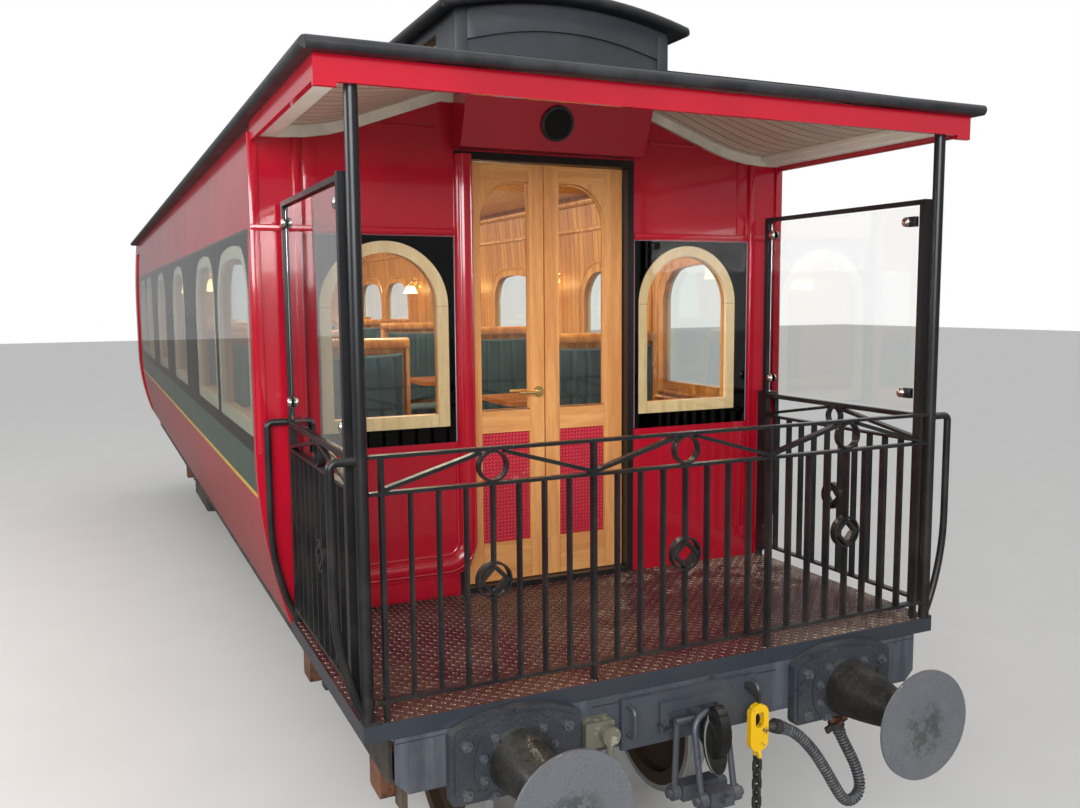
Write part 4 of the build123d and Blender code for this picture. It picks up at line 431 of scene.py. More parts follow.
def glass_finish(name, tint):
    """Glass with a faint tint outside the saloon's width, and smears that only the gloss shows."""
    made, saloon_x = Finish(name, Transmission_Weight=1.0, IOR=1.45), 1.25
    return made.done(mix(abs(made.x) < saloon_x, tint, (0.97, 0.97, 0.96, 1)),
                     speckle(made.place, 3.0, 6, 0.6).fade(0.4, 0.8, 0.01, 0.03))


def tread_finish(name, paint, bare, wear, rough, scale=1.3, trodden=False, edge=None):
    """Chequer plate rubbed bare in patches. Trodden: barer to the right, and brown with dirt at its edge."""
    made = Finish(name, Metallic=0.2)
    if trodden:
        wear = made.x.fade(-0.5, 1.1, wear - 0.16, wear + 0.16) + made.y.fade(-5.44, -5.52) * 0.10
    coat = made.paint(paint, bare, scale, wear)
    colour = made.paint(coat["Colour"], bare, 24.0, 0.30)["Colour"]
    if trodden:
        soil = speckle(made.place, 2.6, 6, 0.6).fade(0.42, 0.60) & made.y.fade(-4.4, -5.3, 0.45, 0.85)
        colour = mix(soil, colour, tone(92, 66, 54))
    colour = made.dust(colour, tone(138, 116, 102), 0.22, 9.0)["Colour"]
    if edge:
        colour = mix(facing(made.tree)[2] < 0.5, colour, edge)
    skin = made.skin(200.0, rough, 0.15)
    return made.done(colour, skin["Roughness"], skin["Height"], 0.0006)


def floor_finish():
    """Cabin floor: long planks with dark joints."""
    made = Finish("cabin floor boards")
    laid = made.use(boards, Across=made.x + 30.0, Pitch=0.11, Groove=0.02)
    grain = made.wood(tone(128, 92, 60), tone(84, 56, 34), (1, 0.08, 1), 7.0)
    colour = mix(laid["Board"] * 0.4, grain["Colour"], tone(76, 50, 30))
    return made.done(mix(laid["Groove"], colour, tone(34, 22, 14)), (80.0, 0.4, 0.1), 1.0 - laid["Groove"],
                     0.001)


def beam_finish():
    """Weathered grey beam: streaks, rubbed patches and the black joints of its planks."""
    made = Finish("weathered beam grey")
    reach, h = abs(made.x), made.h
    coat = made.paint(tone(60, 65, 74), tone(36, 38, 43), 5.0, 0.40)
    streaks = speckle(made.place, 3.0, 6, 0.7, (2.2, 2.2, 0.25)).fade(0.48, 0.66)
    colour = mix(streaks * 0.5, coat["Colour"], tone(92, 98, 108))
    ragged_h = h + (speckle(made.place, 30.0) - 0.5) * 0.005
    joint = (ragged_h.between(-0.094, -0.090) & (reach < 0.42)
             | ragged_h.between(-0.080, -0.077) & (reach > 0.95)
             | reach.between(0.9485, 0.9515) & h.between(-0.080, 0.0))
    film = made.dust(mix(joint * 0.85, colour, tone(24, 25, 28)), tone(112, 106, 98), 0.5, 0.2)
    return made.done(film["Colour"], (120.0, 0.42, 0.12), coat["Height"] * 0.4 - joint, 0.0012)


def mesh_finish():
    """Pressed black mesh: rows of round holes, coloured near black as painted shade in the openings."""
    made = Finish("black speaker mesh", Metallic=0.3)
    pitch, hole = 0.005, 0.0
    for shift in (0.0, 0.5):
        u = ((made.x + 5.0) / pitch + shift).math("FRACT") - 0.5
        v = (made.h / pitch + shift).math("FRACT") - 0.5
        hole = hole | (squares(u, v) < 0.055)
    skin = made.skin(200.0, 0.5, 0.08)
    # Painted shade: the holes are coloured near black, darker than the metal between them
    return made.done(mix(hole, tone(30, 30, 32), tone(6, 6, 7)), skin["Roughness"] + hole * 0.3, 1.0 - hole,
                     0.001)


def buffer_finish():
    """Buffer: grey casting at the beam, oily black shank, bare grey head scuffed at its middle."""
    made = Finish("buffer iron", Metallic=0.3)
    out, casting_y, head_y, middle_h = abs(made.y), 5.654, 6.040, -0.215
    grey = made.paint(tone(60, 64, 72), tone(36, 38, 42), 7.0, 0.38)
    oily = made.paint(tone(36, 35, 33), tone(78, 76, 66), 9.0, 0.3)
    scuffed = made.paint(tone(104, 107, 112), tone(70, 78, 76), 16.0, 0.58)
    spread = squares(abs(made.x) - buffer_x, made.h - middle_h)
    face = mix(spread.fade(0.002, 0.016, 0.9, 0.12), tone(108, 111, 117), scuffed["Colour"])
    colour = mix(out < casting_y, mix(out > head_y, oily["Colour"], face), grey["Colour"])
    skin = made.skin(140.0, 0.36, 0.14)
    return made.done(made.dust(colour, tone(140, 136, 126), 0.35, 0.1)["Colour"], skin["Roughness"],
                     skin["Height"] + scuffed["Height"], 0.0007)


def draw_gear_finish():
    """Draw gear: grey throughout but for the oily black hook and the disc that hangs behind it."""
    made = Finish("draw gear iron", Metallic=0.35)
    disc_y, disc_h, disc_half_w, disc_half_t, disc_slope = 5.7525, -0.248, 0.048, 0.105, 0.25
    x, h, out = made.x, made.h, abs(made.y) - disc_y
    rise = h - disc_h
    slant = out + rise * disc_slope
    ring = squares(x / disc_half_w, rise / disc_half_t)
    hook = x.between(-0.0206, 0.0206) & out.between(-0.061, 0.09) & h.between(-0.31, -0.085)
    hook = hook & (squares(out + 0.032, h + 0.130) > 0.000165)
    dark = hook | slant.between(-0.0015, 0.0205) & (ring < 1.06)
    rubbed = ring.fade(0.86, 0.97) & slant.between(0.012, 0.0205)
    grey = made.paint(tone(72, 77, 86), tone(48, 49, 52), 9.0, 0.38)
    oily = made.paint(tone(22, 23, 24), tone(120, 124, 120), 10.0, 0.22)
    colour = mix(dark, grey["Colour"], mix(rubbed, oily["Colour"], tone(150, 154, 150)))
    skin = made.skin(160.0, 0.40, 0.12)
    return made.done(made.dust(colour, tone(140, 132, 120), 0.35, 0.1)["Colour"],
                     skin["Roughness"] - dark * 0.2, skin["Height"], 0.0006)


def two_paint_finish(name, chosen, first, second, skin):
    """Ironwork in two worn paints: the second on the chosen part, the first elsewhere."""
    made = Finish(name, Metallic=0.2)
    one, two = made.paint(*first), made.paint(*second)
    return made.done(mix(chosen(made), one["Colour"], two["Colour"]), skin, two["Height"], 0.0008)


def wheel_finish():
    """Wheel: bright tread, brown dusty web and axle."""
    made, rim_r = Finish("wheel steel", Metallic=0.5), 0.3545
    rise = made.h + (deck - axle_z)
    near = squares(made.y - axle_ys[0], rise)
    for axle_y in axle_ys[1:]:
        near = near.math("MINIMUM", squares(made.y - axle_y, rise))
    rim = near.math("SQRT") > rim_r
    dull = made.paint(tone(78, 62, 50), tone(110, 88, 70), 6.0, 0.4)
    polished = made.paint(tone(166, 166, 166), tone(120, 116, 110), 5.0, 0.3)
    roughness = made.skin(120.0, 0.6, 0.1)["Roughness"] - rim * 0.34
    return made.done(mix(rim, dull["Colour"], polished["Colour"]), roughness, dull["Height"], 0.0006)


def table_finish():
    """Table: varnished leg and edge under a dark top."""
    made, top_h = Finish("table top and leg", Coat_Weight=0.5, Coat_Roughness=0.08), 0.7095
    wood = made.wood(tone(206, 128, 52), tone(142, 70, 24), level_grain, 8.0)
    colour = mix(made.h > top_h, tone(40, 38, 36), wood["Colour"])
    return made.done(colour, (60.0, 0.3, 0.06), wood["Height"], 0.0002)


def hose_finish():
    """Ribbed rubber: dark grey, with painted highlight on the crowns of the ribs, mottled by a noise."""
    made = Finish("ribbed hose rubber")
    crown_mottle = speckle(made.place, 26.0, 6, 0.65).fade(0.4, 0.7)
    crown = put(made.tree, "ShaderNodeAttribute", out="Fac", attribute_name="rib")
    # Painted highlight: the crowns of the ribs are paler greys than the grooves, mottled by the noise
    colour = mix(crown, tone(24, 25, 27), mix(crown_mottle, tone(76, 78, 83), tone(112, 112, 112)))
    return made.done(colour, crown_mottle.fade(0.0, 1.0, 0.42, 0.62), speckle(made.place, 240.0), 0.0003)


def seat_finish():
    """Seat cloth: a fine woven rib with softer, paler crowns."""
    made = Finish("teal seat cloth", Sheen_Weight=0.35, Sheen_Roughness=0.4)
    weave = put(made.tree, "ShaderNodeTexWave", {"Vector": made.place, "Scale": 180.0, "Distortion": 1.5,
                                                 "Detail": 2.0}, 1, bands_direction="DIAGONAL")
    nap = speckle(made.place, 5.0, 5, 0.6).fade(0.3, 0.7)
    colour = mix(weave * 0.18, mix(nap, tone(24, 60, 74), tone(42, 86, 102)), tone(120, 150, 146))
    return made.done(colour, nap.fade(0.0, 1.0, 0.62, 0.78), weave, 0.0004)


def glow_finish():
    """Frosted lamp glass, brightest towards the rim where the bulb sits."""
    made = Finish("lamp glow", Roughness=0.4, Emission_Strength=4.5)
    cloud = speckle(made.place, 40.0).fade(0.3, 0.7, 0.85, 1.0)
    feed(made.tree, made.sockets, {
        "Emission Color": mix(made.h.fade(1.60, 1.50) & cloud, tone(236, 176, 90), tone(255, 232, 160)),
        "Base Color": mix(cloud, tone(240, 214, 160), tone(250, 236, 196))})
    return made.material


bracket_x, bracket_h = 0.55, -0.352
pipe_iron = two_paint_finish(
    "brake pipe iron", lambda at: (at.x > bracket_x) & (at.h > bracket_h),
    (tone(52, 50, 48), tone(96, 86, 76), 14.0, 0.3), (tone(112, 66, 44), tone(70, 46, 34), 14.0, 0.5),
    (160.0, 0.6, 0.12))
hook_low_h, hook_high_h, hook_back_y = -0.378, -0.160, -5.66
chain_iron = two_paint_finish(
    "chain iron and yellow hook", lambda at: at.h.between(hook_low_h, hook_high_h) & (at.y < hook_back_y),
    (tone(54, 52, 50), tone(112, 110, 108), 16.0, 0.3), (tone(240, 190, 12), tone(120, 96, 56), 16.0, 0.42),
    (200.0, 0.42, 0.12))
side_frame_cream = window_frame_finish("cream window frame", 0, tone(224, 212, 176), tone(208, 194, 154))
front_frame_pine = window_frame_finish("pine window frame", 1, tone(250, 224, 172), tone(236, 202, 144))
roof_shell = ceiling_finish("roof shell", 1.338, 4.56, roof_tone, tone(218, 172, 106), tone(124, 82, 40), 0.10)
canopy_boards = ceiling_finish("canopy boards", 2.0, 9.0, tone(228, 218, 202), tone(196, 176, 156),
                               tone(92, 62, 52), 0.085)
coach_glass = glass_finish("saloon glass", (0.78, 0.84, 0.82, 1))
clear_glass = glass_finish("clear screen glass", (0.96, 0.98, 0.97, 1))
# Painted highlight: the raised bars are paler than the deck plate under them, in their maroon paint and in their
# worn patches alike
deck_tread = tread_finish("maroon chequer bars", tone(88, 50, 50), tone(168, 150, 134), 0.46, 0.22,
                          trodden=True)
deck_sheet = tread_finish("maroon deck plate", tone(62, 32, 37), tone(118, 100, 88), 0.44, 0.20,
                          trodden=True, edge=tone(56, 60, 68))
# Painted highlight: the raised bars are a pale pink, paler still in patches, against the crimson recess round
# them
kick_tread = tread_finish("crimson kick plate", tone(226, 84, 106), tone(244, 170, 178), 0.36, 0.3, 3.0)
speaker_mesh, seat_teal, lamp_glow, hose_rubber = mesh_finish(), seat_finish(), glow_finish(), hose_finish()

for finish, names in (
        (under_black, "underframe bogie_frame_front bogie_frame_rear underfloor_gear"),
        (beam_finish(), "headstocks"), (floor_finish(), "floor"), (deck_sheet, "deck_plate"),
        (crimson_side, "side_left side_right"), (crimson_end, "end_wall_front"),
        (crimson_rear, "end_wall_rear end_door"), (cabin_boarding, "partition"), (roof_shell, "roof_lower"),
        (canopy_boards, "canopy_ceiling"), (crimson, "roof_fascia door_pillar speaker_box"),
        (slate_panel, "clerestory_walls"), (gutter_black, "clerestory_roof speaker_grille"),
        (coach_glass, "window_glass"), (side_frame_cream, "side_window_frames"),
        (front_frame_pine, "front_window_frames"), (frame_black, "door_frame"),
        (door_finish(), "door_left door_right"), (brass, "door_handle"),
        (clear_glass, "door_glass_left door_glass_right gate_glass_left gate_glass_right"),
        (ironwork, "corner_posts body_grab_rails railing_front gate_left gate_right"),
        (buffer_finish(), "buffers"), (draw_gear_finish(), "draw_gear"),
        (rusty_iron, "bogie_springs_front bogie_springs_rear"),
        (wheel_finish(), "wheelset_1 wheelset_2 wheelset_3 wheelset_4"),
        (crimson_doors, "vestibule_frames vestibule_door_left vestibule_door_right"), (seat_teal, "seats"),
        (table_finish(), "tables"), (lamp_glow, "wall_lamps"), (pipe_iron, "brake_pipes"),
        (hose_rubber, "brake_hose"), (box_khaki, "jumper_socket"), (chain_iron, "safety_chain")):
    for name in names.split():
        if not nodes[name].material_slots:
            nodes[name].data.materials.append(finish)
        for holder in nodes[name].material_slots:
            holder.material = finish


# Shaping: a form gathers faces in the coach's own frame and becomes one piece
class Form:
    def __init__(self, *finishes):
        self.mesh = bmesh.new()
        self.finishes = finishes
        self.shade = 0

    def add(self, points, faces, edge=0.0):
        """Faces between points, their edges rounded by a width."""
        corners = [self.mesh.verts.new(p) for p in points]
        made = [self.mesh.faces.new([corners[i] for i in face]) for face in faces]
        for face in made:
            face.material_index = self.shade
        if edge:
            edges = dict.fromkeys(edge for face in made for edge in face.edges)
            bmesh.ops.bevel(self.mesh, geom=list(edges), offset=edge, segments=2, affect="EDGES", profile=0.5,
                            material=-1, clamp_overlap=True)

    def block(self, low, high, edge=0.0):
        """A block between two corners."""
        (a, b, c), (d, e, f) = low, high
        points = [(x, y, z) for z in (c, f) for y in (b, e) for x in (a, d)]
        self.add(points, ((0, 2, 3, 1), (4, 5, 7, 6), (0, 1, 5, 4), (2, 6, 7, 3), (0, 4, 6, 2), (1, 3, 7, 5)),
                 edge)

    def board(self, side, inner, outer, y0, y1, low, high, edge):
        """A block on one side of the middle line, between two heights over the deck."""
        a, b = sorted((side * inner, side * outer))
        self.block((a, y0, deck + low), (b, y1, deck + high), edge)

    def prism(self, outline, place, along, edge=0.0):
        """An outline of points set by place(u, v), carried a vector along."""
        n = len(outline)
        base = [Vector(place(u, v)) for u, v in outline]
        faces = [tuple(range(n))[::-1], tuple(range(n, 2 * n))]
        faces += [(i, (i + 1) % n, n + (i + 1) % n, n + i) for i in range(n)]
        self.add(base + [p + Vector(along) for p in base], faces, edge)

    def lathe(self, profile, foot, axis, turns=24):
        """A profile of (radius, distance) turned about an axis through foot."""
        foot, axis = Vector(foot), Vector(axis).normalized()
        side = axis.orthogonal().normalized()
        other = axis.cross(side)
        points, rows, faces = [], [], []
        for r, s in profile:
            count = 1 if r < 1e-6 else turns
            rows.append(range(len(points), len(points) + count))
            points += [foot + axis * s + (side * cos(2 * pi * k / turns) + other * sin(2 * pi * k / turns)) * r
                       for k in range(count)]
        for a, b in zip(rows, rows[1:]):
            for k in range(turns):
                m = (k + 1) % turns
                quad = tuple(dict.fromkeys((a[k % len(a)], a[m % len(a)], b[m % len(b)], b[k % len(b)])))
                if len(quad) > 2:
                    faces.append(quad)
        self.add(points, faces)

    def tube(self, line, radius, sides=10, closed=False):
        """A round bar along a line of points; radius is one number or one for each point."""
        line = [Vector(p) for p in line]
        n = len(line)
        radii = radius if isinstance(radius, list) else [radius] * n
        before = [line[i - 1] if closed or i else line[i] for i in range(n)]
        after = [line[(i + 1) % n] if closed or i < n - 1 else line[i] for i in range(n)]
        ways = [(b - a).normalized() for a, b in zip(before, after)]
        side = ways[0].orthogonal().normalized()
        points, faces = [], []
        for p, way, r in zip(line, ways, radii):
            side = (side - way * side.dot(way)).normalized()
            other = way.cross(side)
            points += [p + (side * cos(2 * pi * k / sides) + other * sin(2 * pi * k / sides)) * r
                       for k in range(sides)]
        for i in range(n if closed else n - 1):
            a, b = i * sides, ((i + 1) % n) * sides
            faces += [(a + k, a + (k + 1) % sides, b + (k + 1) % sides, b + k) for k in range(sides)]
        if not closed:
            faces += [tuple(range(sides))[::-1], tuple(range((n - 1) * sides, n * sides))]
        self.add(points, faces)

    def piece(self, name, body, smooth=35, stands_for=()):
        """Close the form into an object that rides on a body."""
        bmesh.ops.recalc_face_normals(self.mesh, faces=self.mesh.faces)
        mesh = bpy.data.meshes.new(name)
        self.mesh.to_mesh(mesh)
        self.mesh.free()
        for finish in self.finishes:
            mesh.materials.append(finish)
        return settle(name, mesh, body, smooth, stands_for)


def settle(name, mesh, body, smooth=35, stands_for=()):
    """Make an object of a mesh, smooth it up to an angle, and set it on its body."""
    mesh.name = name
    mesh.shade_smooth()
    mesh.set_sharp_from_angle(angle=radians(smooth))
    made = bpy.data.objects.new(name, mesh)
    scene.collection.objects.link(made)
    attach(made, body)
    if stands_for:
        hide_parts(*stands_for)
    return made


def arc(centre, radius, start, end, steps):
    """Points (u, v) on an arc, angles in degrees."""
    angles = [radians(start + (end - start) * k / steps) for k in range(steps + 1)]
    return [(centre[0] + radius * cos(a), centre[1] + radius * sin(a)) for a in angles]


# Growing: trees that repeat a small shape over spots, each spot with its own way
def lifted(mesh, height):
    """A mesh moved up."""
    shift = put(mesh.tree, "ShaderNodeCombineXYZ", {2: height})
    return put(mesh.tree, "GeometryNodeTransform", {"Geometry": mesh, "Translation": shift})


def finish_tree(geometry, finish, end):
    """Turn instances into real faces with a finish, and end the tree with them."""
    real = put(geometry.tree, "GeometryNodeRealizeInstances", {0: geometry})
    feed(geometry.tree, end, {0: put(geometry.tree, "GeometryNodeSetMaterial",
                                     {"Geometry": real, "Material": finish})})


bolt_tree, given, end = new_group("GeometryNodeTree", "Hex bolts", {
    "Geometry": "Geometry", "Head Width": 0.024, "Head Height": 0.012, "Washer": 0.003, "Stud": 0.010,
    "Seed": 3, "Finish": "Material"}, {"Geometry": "Geometry"})
head_w, head_t, washer_t = given["Head Width"], given["Head Height"], given["Washer"]
washer = put(bolt_tree, "GeometryNodeMeshCylinder", {"Vertices": 16, "Radius": head_w * 0.78,
                                                     "Depth": washer_t})
head = put(bolt_tree, "GeometryNodeMeshCylinder", {"Vertices": 6, "Radius": head_w * 0.58, "Depth": head_t})
stud = put(bolt_tree, "GeometryNodeMeshCone", {"Vertices": 10, "Radius Top": head_w * 0.24,
                                               "Radius Bottom": head_w * 0.30, "Depth": given["Stud"]})
bolt = put(bolt_tree, "GeometryNodeJoinGeometry")
for part in (lifted(washer, washer_t * 0.5), lifted(head, head_t * 0.5 + washer_t),
             lifted(stud, head_t + washer_t)):
    bolt_tree.links.new(part.socket, bolt.socket.node.inputs[0])
spin = put(bolt_tree, "FunctionNodeRandomValue", {"Min": 0.0, "Max": 1.05, "Seed": given["Seed"]}, 1,
           data_type="FLOAT")
twist = put(bolt_tree, "FunctionNodeAxisAngleToRotation", {"Axis": (0, 0, 1), "Angle": spin})
way = put(bolt_tree, "GeometryNodeInputNamedAttribute", {"Name": "way"}, data_type="FLOAT_VECTOR")
aim = put(bolt_tree, "FunctionNodeAlignRotationToVector", {"Rotation": twist, "Vector": way}, axis="Z")
finish_tree(put(bolt_tree, "GeometryNodeInstanceOnPoints", {
    "Points": given["Geometry"], "Instance": bolt, "Rotation": aim}), given["Finish"], end)

# Raised bars of chequer plate, turned one way and the other in turn over a grid
tread_tree, given, end = new_group("GeometryNodeTree", "Chequer bars", {
    "Geometry": "Geometry", "Width": 1.0, "Depth": 1.0, "Columns": 10, "Rows": 10, "Bar Length": 0.022,
    "Bar Width": 0.008, "Rise": 0.0018, "Cross": pi / 2, "Centre": (0, 0, 0), "Turn": (0, 0, 0),
    "Finish": "Material"}, {"Geometry": "Geometry"})
grid = put(tread_tree, "GeometryNodeMeshGrid", {"Size X": given["Width"], "Size Y": given["Depth"],
                                                "Vertices X": given["Columns"], "Vertices Y": given["Rows"]})
bar = put(tread_tree, "GeometryNodeMeshCone", {"Vertices": 6, "Radius Top": 0.34, "Radius Bottom": 0.5,
                                               "Depth": 1.0})
bar_size = put(tread_tree, "ShaderNodeCombineXYZ", {0: given["Bar Length"], 1: given["Bar Width"],
                                                    2: given["Rise"]})
bar = put(tread_tree, "GeometryNodeTransform", {"Geometry": bar, "Scale": bar_size})
number = put(tread_tree, "GeometryNodeInputIndex")
parity = ((number / given["Rows"]).math("FLOOR") + number % given["Rows"]) % 2.0
swing = parity.math("MULTIPLY_ADD", given["Cross"], pi / 4)
bar_turn = put(tread_tree, "FunctionNodeAxisAngleToRotation", {"Axis": (0, 0, 1), "Angle": swing})
laid = put(tread_tree, "GeometryNodeInstanceOnPoints", {"Points": grid, "Instance": bar, "Rotation": bar_turn})
finish_tree(put(tread_tree, "GeometryNodeTransform", {
    "Geometry": laid, "Translation": given["Centre"], "Rotation": given["Turn"]}), given["Finish"], end)


def grow(name, tree, spots, body, **values):
    """Let a tree fill a list of (place, way) spots, and keep the result as one plain piece."""
    mesh = bpy.data.meshes.new(name)
    mesh.from_pydata([place for place, way in spots], [], [])
    ways = mesh.attributes.new("way", "FLOAT_VECTOR", "POINT")
    ways.data.foreach_set("vector", [c for place, way in spots for c in way])
    seed = bpy.data.objects.new(name + "_spots", mesh)
    grower = seed.modifiers.new("Grow", "NODES")
    grower.node_group = tree
    for socket in tree.interface.items_tree:
        value = values.get(socket.name.replace(" ", "_"))
        if socket.in_out == "INPUT" and value is not None:
            grower[socket.identifier] = value
    scene.collection.objects.link(seed)
    bpy.context.view_layer.update()
    grown = bpy.data.meshes.new_from_object(seed.evaluated_get(bpy.context.evaluated_depsgraph_get()))
    bpy.data.objects.remove(seed)
    return settle(name, grown, body, 30)


# Brake hose: the route's points from the source, smoothed, then ribbed along its length
hose_route = (
    (0.385, 0.100, -0.297), (0.434, 0.102, -0.316), (0.497, 0.105, -0.364), (0.560, 0.110, -0.437),
    (0.612, 0.116, -0.516), (0.658, 0.122, -0.596), (0.703, 0.125, -0.665), (0.750, 0.122, -0.680),
    (0.797, 0.112, -0.663), (0.814, 0.101, -0.620), (0.794, 0.090, -0.545), (0.762, 0.079, -0.478),
    (0.736, 0.070, -0.425), (0.717, 0.063, -0.376))
hose_length, hose_r = 0.904, 0.024
hose_curve = bpy.data.curves.new("hose_route", "CURVE")
hose_curve.dimensions = "3D"
hose_line = hose_curve.splines.new("NURBS")
hose_line.points.add(len(hose_route) - 1)
for point, (x, out, h) in zip(hose_line.points, hose_route):
    point.co = (x, posts_y - out, deck + h, 1)
hose_line.order_u = 3
hose_line.use_endpoint_u = True
hose_line.resolution_u = 32
hose_holder = bpy.data.objects.new("hose_route", hose_curve)
scene.collection.objects.link(hose_holder)
bpy.context.view_layer.update()
run = bpy.data.meshes.new_from_object(hose_holder)
hose_path = [run.vertices[0].co.copy()]
for vertex in run.vertices[1:]:
    if (vertex.co - hose_path[-1]).length > 1e-5:
        hose_path.append(vertex.co.copy())
bpy.data.objects.remove(hose_holder)


def even_points(line, step):
    """Points at even steps along a line."""
    spaced, left = [line[0].copy()], step
    for a, b in zip(line, line[1:]):
        span, done = (b - a).length, 0.0
        while span - done > left:
            done += left
            spaced.append(a.lerp(b, done / span))
            left = step
        left -= span - done
    return spaced + [line[-1].copy()]


rib_pitch, rib_depth = 0.0145, 0.0042
rib_shape = (0.0, 0.35, 1.0, 1.0, 0.35)
cuff_points, hose_sides = 14, 20
hose_points = even_points(hose_path, rib_pitch / len(rib_shape))
hose_radii = [hose_r - (0 if min(i, len(hose_points) - 1 - i) < cuff_points
                        else rib_depth * (1 - rib_shape[i % len(rib_shape)])) for i in range(len(hose_points))]
hose = Form(hose_rubber)
hose.tube(hose_points, hose_radii, hose_sides)
hose_piece = hose.piece("brake_hose_tube", coach, 60, ("brake_hose",))
rib_mark = hose_piece.data.attributes.new("rib", "FLOAT", "POINT")
rib_mark.data.foreach_set("value", [rib_shape[(v // hose_sides) % len(rib_shape)]
                                    for v in range(len(hose_piece.data.vertices))])
hose_cuffs = Form(bolt_grey)
for at, to in ((hose_points[0], hose_points[8]), (hose_points[-1], hose_points[-9])):
    way = (to - at).normalized()
    for shift in (0.010, 0.024):
        hose_cuffs.tube([at + way * (shift + s) for s in (-0.004, -0.003, 0.003, 0.004)],
                        [hose_r + out for out in (0.0005, 0.0022, 0.0022, 0.0005)], hose_sides)
        knob = at + way * shift + Vector((0, -1, 0)) * (hose_r + 0.003)
        hose_cuffs.block(knob - Vector((0.008, 0.006, 0.005)), knob + Vector((0.008, 0.002, 0.005)), 0.0015)
cuffs_piece = hose_cuffs.piece("brake_hose_cuffs", coach)

# Seats: padded cushions and channelled backs in cloth, on pine ends with a capping rail
seat_in_x, seat_out_x = 0.400, 1.200
seat_w = seat_out_x - seat_in_x
back_t, back_high_h = 0.090, 1.180
cushion_h, cushion_t, cushion_d = 0.450, 0.120, 0.440
seat_row = ((-3.345, (1,)), (-1.738, (-1, 1)), (0.0, (-1, 1)), (1.738, (-1, 1)), (3.345, (-1,)))
pad_share = 0.94


def pad_mesh(name, size, cells, channels, crown):
    """A stuffed pad centred on the origin: swollen by pressure, then drawn in along its sewn channels."""
    form, grid = bmesh.new(), {}

    def corner(*key):
        if key not in grid:
            grid[key] = form.verts.new([size[a] * (key[a] / cells[a] - 0.5) * pad_share for a in range(3)])
        return grid[key]

    for axis in range(3):
        u, v = (axis + 1) % 3, (axis + 2) % 3
        for end in (0, cells[axis]):
            for i in range(cells[u]):
                for j in range(cells[v]):
                    quad = []
                    for du, dv in ((0, 0), (1, 0), (1, 1), (0, 1)):
                        key = [0, 0, 0]
                        key[axis], key[u], key[v] = end, i + du, j + dv
                        quad.append(corner(*key))
                    form.faces.new(quad if end else quad[::-1])
    bmesh.ops.recalc_face_normals(form, faces=form.faces)
    mesh = bpy.data.meshes.new(name)
    form.to_mesh(mesh)
    form.free()
    pad = bpy.data.objects.new(name, mesh)
    scene.collection.objects.link(pad)
    swell = pad.modifiers.new("Swell", "CLOTH")
    for setting, value in (("quality", 5), ("mass", 0.3), ("tension_stiffness", 20),
                           ("compression_stiffness", 20), ("bending_stiffness", 1.5),
                           ("use_pressure", True), ("uniform_pressure_force", 4)):
        setattr(swell.settings, setting, value)
    swell.settings.effector_weights.gravity = 0
    swell.point_cache.frame_end = 20
    for step in range(1, 21):
        scene.frame_set(step)
    shaped = bpy.data.meshes.new_from_object(pad.evaluated_get(bpy.context.evaluated_depsgraph_get()))
    scene.frame_set(1)
    for v, place in zip(mesh.vertices, shaped.vertices):
        move = place.co - v.co
        v.co += move if move.length <= crown else move * (crown / move.length)
    bpy.data.objects.remove(pad)
    for v in mesh.vertices:
        depth = max((max(0.0, 1 - abs(v.co.x - place) / 0.014) ** 1.5 for place in channels), default=0.0)
        v.co.z -= depth * 0.010 * (1 if v.co.z > 0 else 0)
    form = bmesh.new()
    form.from_mesh(mesh)
    bmesh.ops.subdivide_edges(form, edges=form.edges, cuts=1, use_grid_fill=True, smooth=0.6)
    bmesh.ops.recalc_face_normals(form, faces=form.faces)
    form.to_mesh(mesh)
    form.free()
    return mesh


back_high = back_high_h - cushion_h - 0.06
back_channels = [seat_w / 8 * k - seat_w / 2 for k in range(1, 8)]
cushion_pad = pad_mesh("cushion_pad", (seat_w - 0.03, cushion_d, cushion_t), (34, 18, 6), (), 0.016)
back_pad = pad_mesh("back_pad", (seat_w - 0.03, back_high, 0.075), (42, 26, 4), back_channels, 0.014)


def place_pad(name, pad, place, turn=Matrix.Identity(4)):
    """A copy of a pad, set in its place as a padded piece of cloth."""
    mesh = pad.copy()
    mesh.transform(Matrix.Translation(place) @ turn)
    mesh.materials.append(seat_teal)
    made = settle(name, mesh, coach, 60, ("seats",))


foot_reach, elbow_r, elbow_h = 0.36, 0.07, 0.62


def half_end(way, sat_on):
    """Half the outline of a seat's end from its foot up, with an elbow where there is a cushion."""
    reach, back = foot_reach if sat_on else back_t / 2, back_t / 2
    elbow = arc((back + elbow_r, elbow_h), elbow_r, 270, 180, 6) if sat_on else [(back, 0.6)]
    return [(way * u, v) for u, v in ((reach, 0.012), (reach, 0.50), *elbow, (back, back_high_h - 0.03))]


